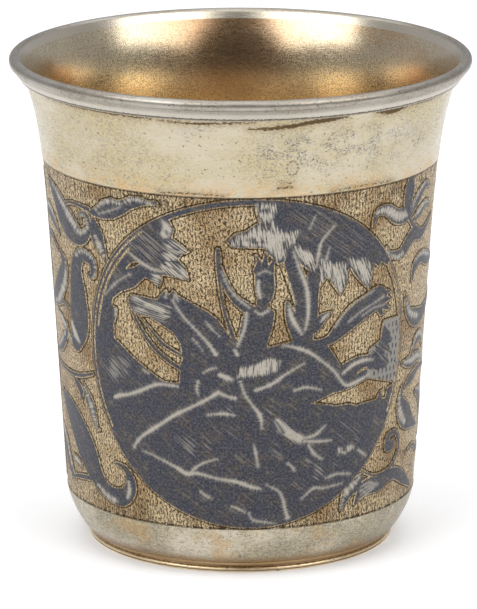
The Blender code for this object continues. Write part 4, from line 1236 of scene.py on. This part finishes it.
# %% The bands above and below the frieze
def band_finish():
    f, colour, rough, bump = gilt_finish(
        "rubbed_gilding", paint(190, 181, 162), paint(184, 170, 134), paint(130, 129, 128),
        wear=0.50)
    flat = f.unrolled()
    flush, mark, wear = f.number("flush"), f.number("silver"), f.number("tone")
    scuffs = f.solid_noise(2.9, 3.9, detail=3.0, roughness=0.8)
    clumps = f.solid_noise(0.34, 0.5, detail=3.0)
    scuffed = f.times(f.step(scuffs, 0.50, 0.57), f.step(clumps, 0.42, 0.56))
    scuffed = f.times(scuffed, wear)
    colour = f.tint(colour, scuffed, 0.9, paint(84, 86, 94))
    up = f.axis(flat, "Y")
    toned = f.times(f.step(up, FRIEZE_TOP + 4.0, FRIEZE_TOP), f.step(clumps, 0.4, 0.6))
    colour = f.tint(colour, toned, 0.5, paint(196, 158, 108))
    fine = f.noise(f.stretched(flat, (2.4, 4.0, 1.0)), detail=3.0)
    ragged = f.math("MULTIPLY_ADD", fine, 1.1, -0.55)
    stained = f.step(f.math("ADD", flush, ragged), -0.10, 0.10)
    colour = f.tint(colour, stained, 0.92, paint(52, 42, 26))
    dust = f.step(f.math("ADD", flush, f.times(ragged, 3.0)), -1.1, 0.1)
    colour = f.tint(colour, dust, 0.4, paint(128, 104, 70))
    struck = f.step(f.math("MULTIPLY_ADD", ragged, 0.20, mark), -0.06, 0.05)
    colour = f.tint(colour, struck, 0.75, paint(96, 88, 84))
    colour = border_line(f, colour, FRIEZE_TOP)
    return f.finish(colour=colour, metal=1.0, rough=f.blend(stained, rough, 0.6), normal=bump)


def base_finish():
    f, colour, rough, bump = gilt_finish(
        "base_gilding", paint(206, 197, 180), paint(182, 170, 138), paint(136, 134, 130),
        wear=0.44)
    up = f.height()
    patch = f.solid_noise(0.16, 0.22)
    speck = f.solid_noise(1.4, 1.8, detail=3.0)
    grainy = f.solid_noise(4.6, 5.2, detail=2.0, roughness=0.7)
    colour = f.tint(colour, f.step(patch, 0.52, 0.64), 0.45, paint(190, 152, 98))
    colour = f.tint(colour, f.step(speck, 0.52, 0.64), 0.45, paint(126, 120, 108))
    colour = f.tint(colour, f.step(grainy, 0.50, 0.62), 0.40, paint(110, 100, 82))
    # painted shade: darker brown towards the foot, where the base curves under
    crease_shade = f.step(f.math("ADD", up, f.times(speck, 1.6)), 4.2, 2.7)
    colour = f.tint(colour, crease_shade, 0.8, paint(140, 108, 68))
    colour = border_line(f, colour, FRIEZE_LOW)
    return f.finish(colour=colour, metal=1.0, rough=rough, normal=bump)


BAND_FINISH, BASE_FINISH = band_finish(), base_finish()
print("band finish has", len(BAND_FINISH.node_tree.nodes), "nodes")


# %% [markdown]
# ## The finish of the inside
#
# The inside was never handled, so its gilding is whole: pale and thin at the lip, warmer
# and browner lower down, and brushed round by the turning of the burnisher.

# %% Gilding inside
def inside_finish():
    f = Finish("inside_gilding")
    up = f.height()
    cloud = f.solid_noise(0.05, 0.09, detail=5.0)
    brushed = f.solid_noise(0.9, 5.0, detail=3.0)
    specks = f.solid_noise(3.4, 3.8, detail=3.0, roughness=0.75)
    lip = f.step(f.math("MULTIPLY_ADD", cloud, 14.0, up), 69.0, 87.0)
    colour = f.blend(lip, paint(252, 230, 184), paint(204, 191, 166))
    across = f.math("ABSOLUTE", f.axis(f.unrolled(), "X"))
    across = f.math("MULTIPLY_ADD", cloud, 16.0, across)
    # painted reflection: a browner band below the lip, everywhere but at the back
    warm = f.times(f.step(across, 84.0, 66.0), f.step(up, 60.0, 68.0))
    warm = f.times(warm, f.step(up, 78.2, 71.0))
    colour = f.tint(colour, warm, 0.55, paint(186, 144, 100))
    # painted reflection: the top of the back inside is darker brown, where it mirrors the dim room
    painted_back_reflection = f.step(across, 84.0, 98.0)
    painted_back_reflection = f.times(painted_back_reflection, f.step(up, 61.5, 69.0))
    colour = f.tint(colour, painted_back_reflection, 0.75, paint(168, 122, 78))
    colour = f.tint(colour, f.step(cloud, 0.50, 0.66), 0.45, paint(196, 152, 100))
    colour = f.tint(colour, f.step(specks, 0.46, 0.62), 0.5, paint(120, 106, 86))
    rough = f.blend(f.step(brushed, 0.3, 0.7), 0.19, 0.27)
    height = f.math("ADD", f.times(brushed, 0.5), f.times(specks, 0.5))
    return f.finish(colour=colour, metal=1.0, rough=rough, normal=f.bump(height, 0.00003, 0.4))


INSIDE_FINISH = inside_finish()
print("inside finish has", len(INSIDE_FINISH.node_tree.nodes), "nodes")


# %% [markdown]
# ## The finish of the rim and the foot
#
# The rim is the part that hands and lips rub most, so little gold is left on its bead. A
# dark line of old solder runs under it, and the lower part of its band carries a painted
# reflection of the bright floor. The foot is out of reach; the brown of its hollow neck
# and the dark line near its bottom are painted shade.

# %% Rim and foot
def rim_finish():
    f, colour, rough, bump = gilt_finish(
        "thin_gilding_on_the_rim", paint(170, 166, 158), paint(160, 150, 134),
        paint(120, 118, 117), wear=0.48, rough=0.38)
    nicks = f.noise(f.stretched(f.unrolled(), (3.4, 0.9, 1.0)), detail=2.0, roughness=0.7)
    up = f.height()
    low = f.step(up, 77.9, 77.2)
    colour = f.blend(f.times(f.step(nicks, 0.62, 0.68), low), colour,
                     paint(70, 64, 60))
    # painted reflection: the lower part of the band is lighter, where it shows the bright floor
    colour = f.tint(colour, low, 0.6, paint(214, 208, 196))
    joint = f.step(f.math("MULTIPLY_ADD", nicks, 0.5, up), 77.06, 76.92)
    colour = f.tint(colour, joint, 0.9, paint(54, 42, 30))
    level = f.node("ShaderNodeVectorMath", (f.place(), (1.0 / MM, 1.0 / MM, 0.0)),
                   operation="MULTIPLY")
    radius = f.node("ShaderNodeVectorMath", (level,), out="Value", operation="LENGTH")
    within = f.step(f.math("MULTIPLY_ADD", nicks, 0.3, radius), 35.95, 35.6)
    colour = f.blend(within, colour, paint(200, 191, 173))
    rough = f.blend(within, rough, 0.24)
    return f.finish(colour=colour, metal=1.0, rough=rough, normal=bump)


def foot_finish():
    f, colour, rough, bump = gilt_finish(
        "foot_gilding_with_painted_shade", paint(252, 232, 194), paint(222, 194, 150), paint(226, 218, 200),
        wear=0.50, rough=0.34)
    up = f.height()
    speck = f.noise(f.stretched(f.unrolled(), (1.2, 1.6, 1.0)), detail=3.0)
    # painted shade: brown in the hollow neck under the base
    crease_shade = f.step(f.math("ADD", up, f.times(speck, 0.8)), 1.0, 1.4)
    colour = f.tint(colour, crease_shade, 0.75, paint(142, 106, 64))
    # painted shade: a dark line near the bottom of the foot
    line = f.math("SUBTRACT", 1.0, f.step(f.math("ABSOLUTE", f.math("SUBTRACT", up, 0.34)),
                                          0.06, 0.14))
    colour = f.tint(colour, line, 0.85, paint(84, 72, 64))
    return f.finish(colour=colour, metal=1.0, rough=rough, normal=bump)


RIM_FINISH, FOOT_FINISH = rim_finish(), foot_finish()
print("finishes:", len(bpy.data.materials))

# %% [markdown]
# ## Four engraved sheets
#
# The turning tree makes each sheet of the frieze at its full smoothness. The drawing then
# sinks the ground by its depth, with a short slope at each edge, and its layers go onto
# the mesh as attributes for the finish. Normals are worked out from the same drawing and
# set on the mesh, so that neighbouring sheets meet without a visible seam.

# %% Engrave the sheets
GROUND_DEPTH = 0.12
SLOPE = 0.30
BORDER = 0.30


def sunk(layers):
    """Depth of the chased ground below the wall, in millimetres."""
    edge = np.clip((layers.flush + SLOPE) / SLOPE, 0.0, 1.0)
    depth = GROUND_DEPTH * (1.0 - edge * edge * (3.0 - 2.0 * edge))
    border = np.minimum(layers.v - FRIEZE_LOW, FRIEZE_TOP - layers.v)[None, :]
    return depth * np.clip(border / BORDER, 0.0, 1.0)


def wrapped(u, radius, v):
    """Points on the wall in metres from a grid of u and v."""
    angle = u[:, None] / ROUND_TURN
    return np.stack([radius * np.sin(angle), -radius * np.cos(angle),
                     np.broadcast_to(v[None, :], radius.shape)], axis=-1) * MM


def set_numbers(mesh, name, values):
    layer = mesh.attributes.new(name, "FLOAT", "POINT")
    layer.data.foreach_set("value", np.ascontiguousarray(values, np.float32).ravel())


def set_map(mesh, name, across, up):
    """A UV map from one value of each for every vertex."""
    corner = np.empty(len(mesh.loops), np.int32)
    mesh.loops.foreach_get("vertex_index", corner)
    pairs = np.stack([across.ravel()[corner], up.ravel()[corner]], axis=-1)
    layer = mesh.uv_layers.new(name=name, do_init=False)
    layer.uv.foreach_set("vector", pairs.astype(np.float32).ravel())


def engraved_sheet(name, span, heights, steps, draw, depth_of, finish):
    """A sheet of the wall between two values of u and two heights, cut by a drawing."""
    u = np.linspace(*span, steps[0])
    v = np.linspace(*heights, steps[1])
    profile = [(float(outer_radius(h)), float(h)) for h in v]
    piece = turned(name, profile, steps[0], finish, span[0] / ROUND_TURN, span[1] / ROUND_TURN)
    wide_u = np.concatenate([[2 * u[0] - u[1]], u, [2 * u[-1] - u[-2]]])
    wide_v = np.concatenate([[2 * v[0] - v[1]], v, [2 * v[-1] - v[-2]]])
    layers = draw(wide_u, wide_v)
    depth = depth_of(layers)
    depth[:, (wide_v < heights[0]) | (wide_v > heights[1])] = 0.0
    place = wrapped(wide_u, outer_radius(wide_v)[None, :] - depth, wide_v)
    normal = np.cross(place[2:, 1:-1] - place[:-2, 1:-1], place[1:-1, 2:] - place[1:-1, :-2])
    normal /= np.linalg.norm(normal, axis=-1, keepdims=True)
    mesh = piece.data
    mesh.vertices.foreach_set("co", place[1:-1, 1:-1].astype(np.float32).ravel())
    for layer in LAYERS:
        set_numbers(mesh, layer, getattr(layers, layer)[1:-1, 1:-1])
    grid_u, grid_v = np.meshgrid(u, v, indexing="ij")
    set_map(mesh, "Unrolled", grid_u, grid_v)
    inner = 1.0 - 2.0 * BAKE_MARGIN
    set_map(mesh, "OFBake", BAKE_MARGIN + inner * (grid_u - u[0]) / (u[-1] - u[0]),
            BAKE_MARGIN + inner * (grid_v - v[0]) / (v[-1] - v[0]))
    mesh.uv_layers["Unrolled"].active = True
    mesh.update()
    mesh.normals_split_custom_set_from_vertices(normal.reshape(-1, 3).tolist())
    print(name, 2 * (steps[0] - 1) * (steps[1] - 1), "triangles")
    return piece


BAKE_MARGIN = 0.01
LAYERS = ("flush", "silver", "tone", "grain", "comb", "cuts")
EDGE = 30.6
ROWS = 276
sheets = []
for name, span, columns in (("frieze_front", (-EDGE, EDGE), 306),
                            ("frieze_left", (EDGE - HALF_TURN, -EDGE), 156),
                            ("frieze_right", (EDGE, HALF_TURN - EDGE), 156),
                            ("frieze_back", (HALF_TURN - EDGE, HALF_TURN + EDGE), 250)):
    sheets.append(engraved_sheet(name, span, (FRIEZE_LOW, FRIEZE_TOP), (columns, ROWS),
                                 draw_frieze, sunk, FRIEZE_FINISH))

# %% [markdown]
# ## The plain parts of the vessel
#
# Above and below the frieze the wall is plain, so its sheets need far fewer points. The
# inside, the lip and the flat base close the vessel.

# %% Bands, inside and base
ROUND_COLUMNS = 240


def mapped(piece):
    """Close a turned piece's seam and give it the unrolled map in millimetres."""
    mesh = piece.data
    count = len(mesh.vertices)
    place = np.empty(count * 3)
    mesh.vertices.foreach_get("co", place)
    place = place.reshape(-1, 3) / MM
    rows = count // (ROUND_COLUMNS + 1)
    across = np.repeat(np.linspace(-HALF_TURN, HALF_TURN, ROUND_COLUMNS + 1), rows)
    line = place[:rows]
    run = np.concatenate([[0.0], np.cumsum(np.linalg.norm(np.diff(line, axis=0), axis=1))])
    set_map(mesh, "Unrolled", across, np.tile(run + line[0, 2], ROUND_COLUMNS + 1))
    shape = bmesh.new()
    shape.from_mesh(mesh)
    bmesh.ops.remove_doubles(shape, verts=shape.verts, dist=2e-6)
    shape.to_mesh(mesh)
    shape.free()
    return piece


def profile_of(heights, inset=0.0):
    return [(float(outer_radius(h)) - inset, float(h)) for h in heights]


def draw_band(u, v):
    """Dark streaks of old solder under the rim, a struck mark left blank, and scratches."""
    band = Drawing(u, v)
    for streak in (((-34, 76.1, 0.10), (-22, 76.1, 0.16), (-14, 76.0, 0.12)),
                   ((-13, 75.9, 0.06), (-8, 75.7, 0.18), (-3, 75.9, 0.14), (0, 76.0, 0.06)),
                   ((-0.8, 74.9, 0.05), (2.0, 74.9, 0.24), (5.0, 75.2, 0.34), (7.5, 75.6, 0.34),
                    (10.2, 75.9, 0.42), (13.0, 76.1, 0.12)),
                   ((17.6, 76.1, 0.10), (20.4, 75.75, 0.44), (23.4, 76.1, 0.12)),
                   ((24, 76.1, 0.16), (33, 76.1, 0.16)),
                   ((40, 75.9, 0.10), (52, 75.8, 0.26), (66, 76.0, 0.10)),
                   ((72, 75.9, 0.06), (81, 75.6, 0.34), (91, 76.0, 0.06)),
                   ((-86, 75.9, 0.06), (-70, 75.7, 0.30), (-52, 76.0, 0.10))):
        band.add("flush", band.stroke(streak))
    for dash in (((3.6, 64.9, 0.10), (5.6, 64.9, 0.12)), ((4.0, 65.6, 0.05), (5.4, 65.7, 0.10)),
                 ((-14, 63.7, 0.04), (-9, 63.9, 0.09), (-4, 63.7, 0.04)),
                 ((12, 63.8, 0.04), (18, 63.9, 0.08), (23, 63.7, 0.04))):
        band.add("flush", band.stroke(dash))
    for place in range(0, 360, 30):
        t = math.radians(place)
        mark = (5.6 + 0.80 * math.cos(t), 68.1 + 1.15 * math.sin(t), 0.17)
        band.add("silver", band.stroke([mark, mark]))
    for u, v, half, wear in ((6, 70.6, 2.8, 0.9), (13, 70.8, 3.2, 1.0), (20, 70.4, 3.0, 0.8),
                             (26, 69.6, 3.0, 0.6), (-8, 74.2, 1.2, 0.5), (-20, 70.0, 3.4, 0.25),
                             (-60, 70.0, 5.0, 0.6), (60, 70.0, 5.0, 0.5)):
        band.shade("tone", band.stroke([(u - half, v, half), (u + half, v + 0.6, half * 0.8)]),
                   wear, soft=half)
    return band


def dented(band):
    """Depth under the wall of the band's marks; solder stands a little proud."""
    solder = np.clip(band.flush / 0.2 + 0.6, 0.0, 1.0) * -0.05
    return solder + 0.10 * np.clip(band.silver / 0.2 + 0.5, 0.0, 1.0)


sheets.append(engraved_sheet("plain_band", (-HALF_TURN, HALF_TURN), (FRIEZE_TOP, LIP_TOP),
                             (900, 76), draw_band, dented, BAND_FINISH))
base_line = [(0.05, BASE_HEIGHT), (12.0, BASE_HEIGHT), (24.6, BASE_HEIGHT)]
base_line += profile_of(spread(BASE_HEIGHT, FRIEZE_LOW, 30))
lower = turned("base_band", base_line, ROUND_COLUMNS + 1, BASE_FINISH)

corner_height = FLOOR_HEIGHT + INSIDE_ROUND
corner_radius = float(outer_radius(corner_height)) - WALL
inside_line = profile_of(spread(LIP_TOP, corner_height, 60), WALL)
for turn in np.linspace(math.pi / 2, 0.0, 12)[1:]:
    inside_line.append((corner_radius - INSIDE_ROUND * (1 - math.sin(turn)),
                        corner_height - INSIDE_ROUND * math.cos(turn)))
for share in (0.6, 0.4, 0.2, 0.0006):
    inside_line.append((corner_radius * share, FLOOR_HEIGHT))
inside_line.insert(0, (float(outer_radius(LIP_TOP)), LIP_TOP))
inside = turned("cup_inside", inside_line, ROUND_COLUMNS + 1, INSIDE_FINISH)
for piece in (lower, inside):
    mapped(piece)
    print(piece.name, len(piece.data.polygons), "faces")

# %% [markdown]
# ## Rim and foot
#
# The rim is a drawn strip, cone-shaped with a round bead on top, bent round the lip and
# soldered on. The foot is a low ring with a hollow neck above a small bead. Both are
# profiles turned about the axis, closed by repeating the first point.

# %% Rim moulding and foot ring
SOLDER_GAP = 0.3
BEAD_RADIUS, BEAD_OVERHANG = 0.93, 0.39
BEAD_START, BEAD_STOP, BEAD_STEP = -42, 150, 12
BAND_DEPTH, BAND_THICKNESS = 3.5, 0.4
EDGE_ROUND = 0.16
FOOT_INSET, FOOT_WIDTH, FOOT_NECK_DEPTH = 0.6, 2.2, 0.45

bead_radius = float(outer_radius(LIP_TOP)) + BEAD_OVERHANG
bead_height = HEIGHT - BEAD_RADIUS
band_low = HEIGHT - BAND_DEPTH
lip_inside = (float(outer_radius(LIP_TOP)) - WALL, LIP_TOP)
rim_line = []
for degrees in range(BEAD_START, BEAD_STOP + 1, BEAD_STEP):
    a = math.radians(degrees)
    rim_line.append((bead_radius + BEAD_RADIUS * math.cos(a),
                     bead_height + BEAD_RADIUS * math.sin(a)))
top_inside = rim_line[-1]
for share in (0.33, 0.67):
    rim_line.append((top_inside[0] + (lip_inside[0] - top_inside[0]) * share,
                     top_inside[1] + (lip_inside[1] - top_inside[1]) * share))
rim_line.append(lip_inside)
rim_line += profile_of(spread(LIP_TOP - 0.02, band_low, 6), -0.03)
low_edge = float(outer_radius(band_low)) + SOLDER_GAP + BAND_THICKNESS
neck = (rim_line[0][0] - 0.10, rim_line[0][1] - 0.04)
rim_line += [(low_edge - EDGE_ROUND, band_low), (low_edge - 0.04, band_low + 0.05),
             (low_edge, band_low + EDGE_ROUND)]
for share in (0.25, 0.5, 0.75, 0.96):
    rim_line.append((low_edge + (neck[0] - low_edge) * share,
                     band_low + EDGE_ROUND + (neck[1] - band_low - EDGE_ROUND) * share))
rim_line += [neck, rim_line[0]]
rim = mapped(turned("rim_band", rim_line, ROUND_COLUMNS + 1, RIM_FINISH))

foot_outer = BASE_RADIUS - FOOT_INSET
foot_inner, foot_neck = foot_outer - FOOT_WIDTH, foot_outer - FOOT_NECK_DEPTH
foot_line = [(foot_inner, BASE_HEIGHT), (foot_inner, 0.0), (foot_outer - 0.3, 0.0),
             (foot_outer - 0.08, 0.10), (foot_outer, 0.3), (foot_outer, 0.55),
             (foot_outer - 0.12, 0.76), (foot_neck + 0.1, 0.86), (foot_neck, 1.0),
             (foot_neck, 1.5), (foot_neck + 0.12, BASE_HEIGHT), (foot_inner, BASE_HEIGHT)]
foot = mapped(turned("foot_band", foot_line, ROUND_COLUMNS + 1, FOOT_FINISH))
for piece in (rim, foot, inside):
    piece.data.set_sharp_from_angle(angle=math.radians(42))
print("rim and foot:", len(rim.data.polygons), len(foot.data.polygons), "faces")

# %% [markdown]
# ## Riding the frame
#
# Each piece hangs from the root, and the solid of the frame that it stands in for is hidden.

# %% Place every piece on the frame
for piece in (*sheets, lower, inside):
    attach(piece, "root")
    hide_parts("cup_body")
for piece, node, finish in ((rim, "rim_moulding", "rubbed_silver"),
                            (foot, "foot_ring", "tarnished_gilt")):
    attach(piece, "root")
    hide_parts(node)
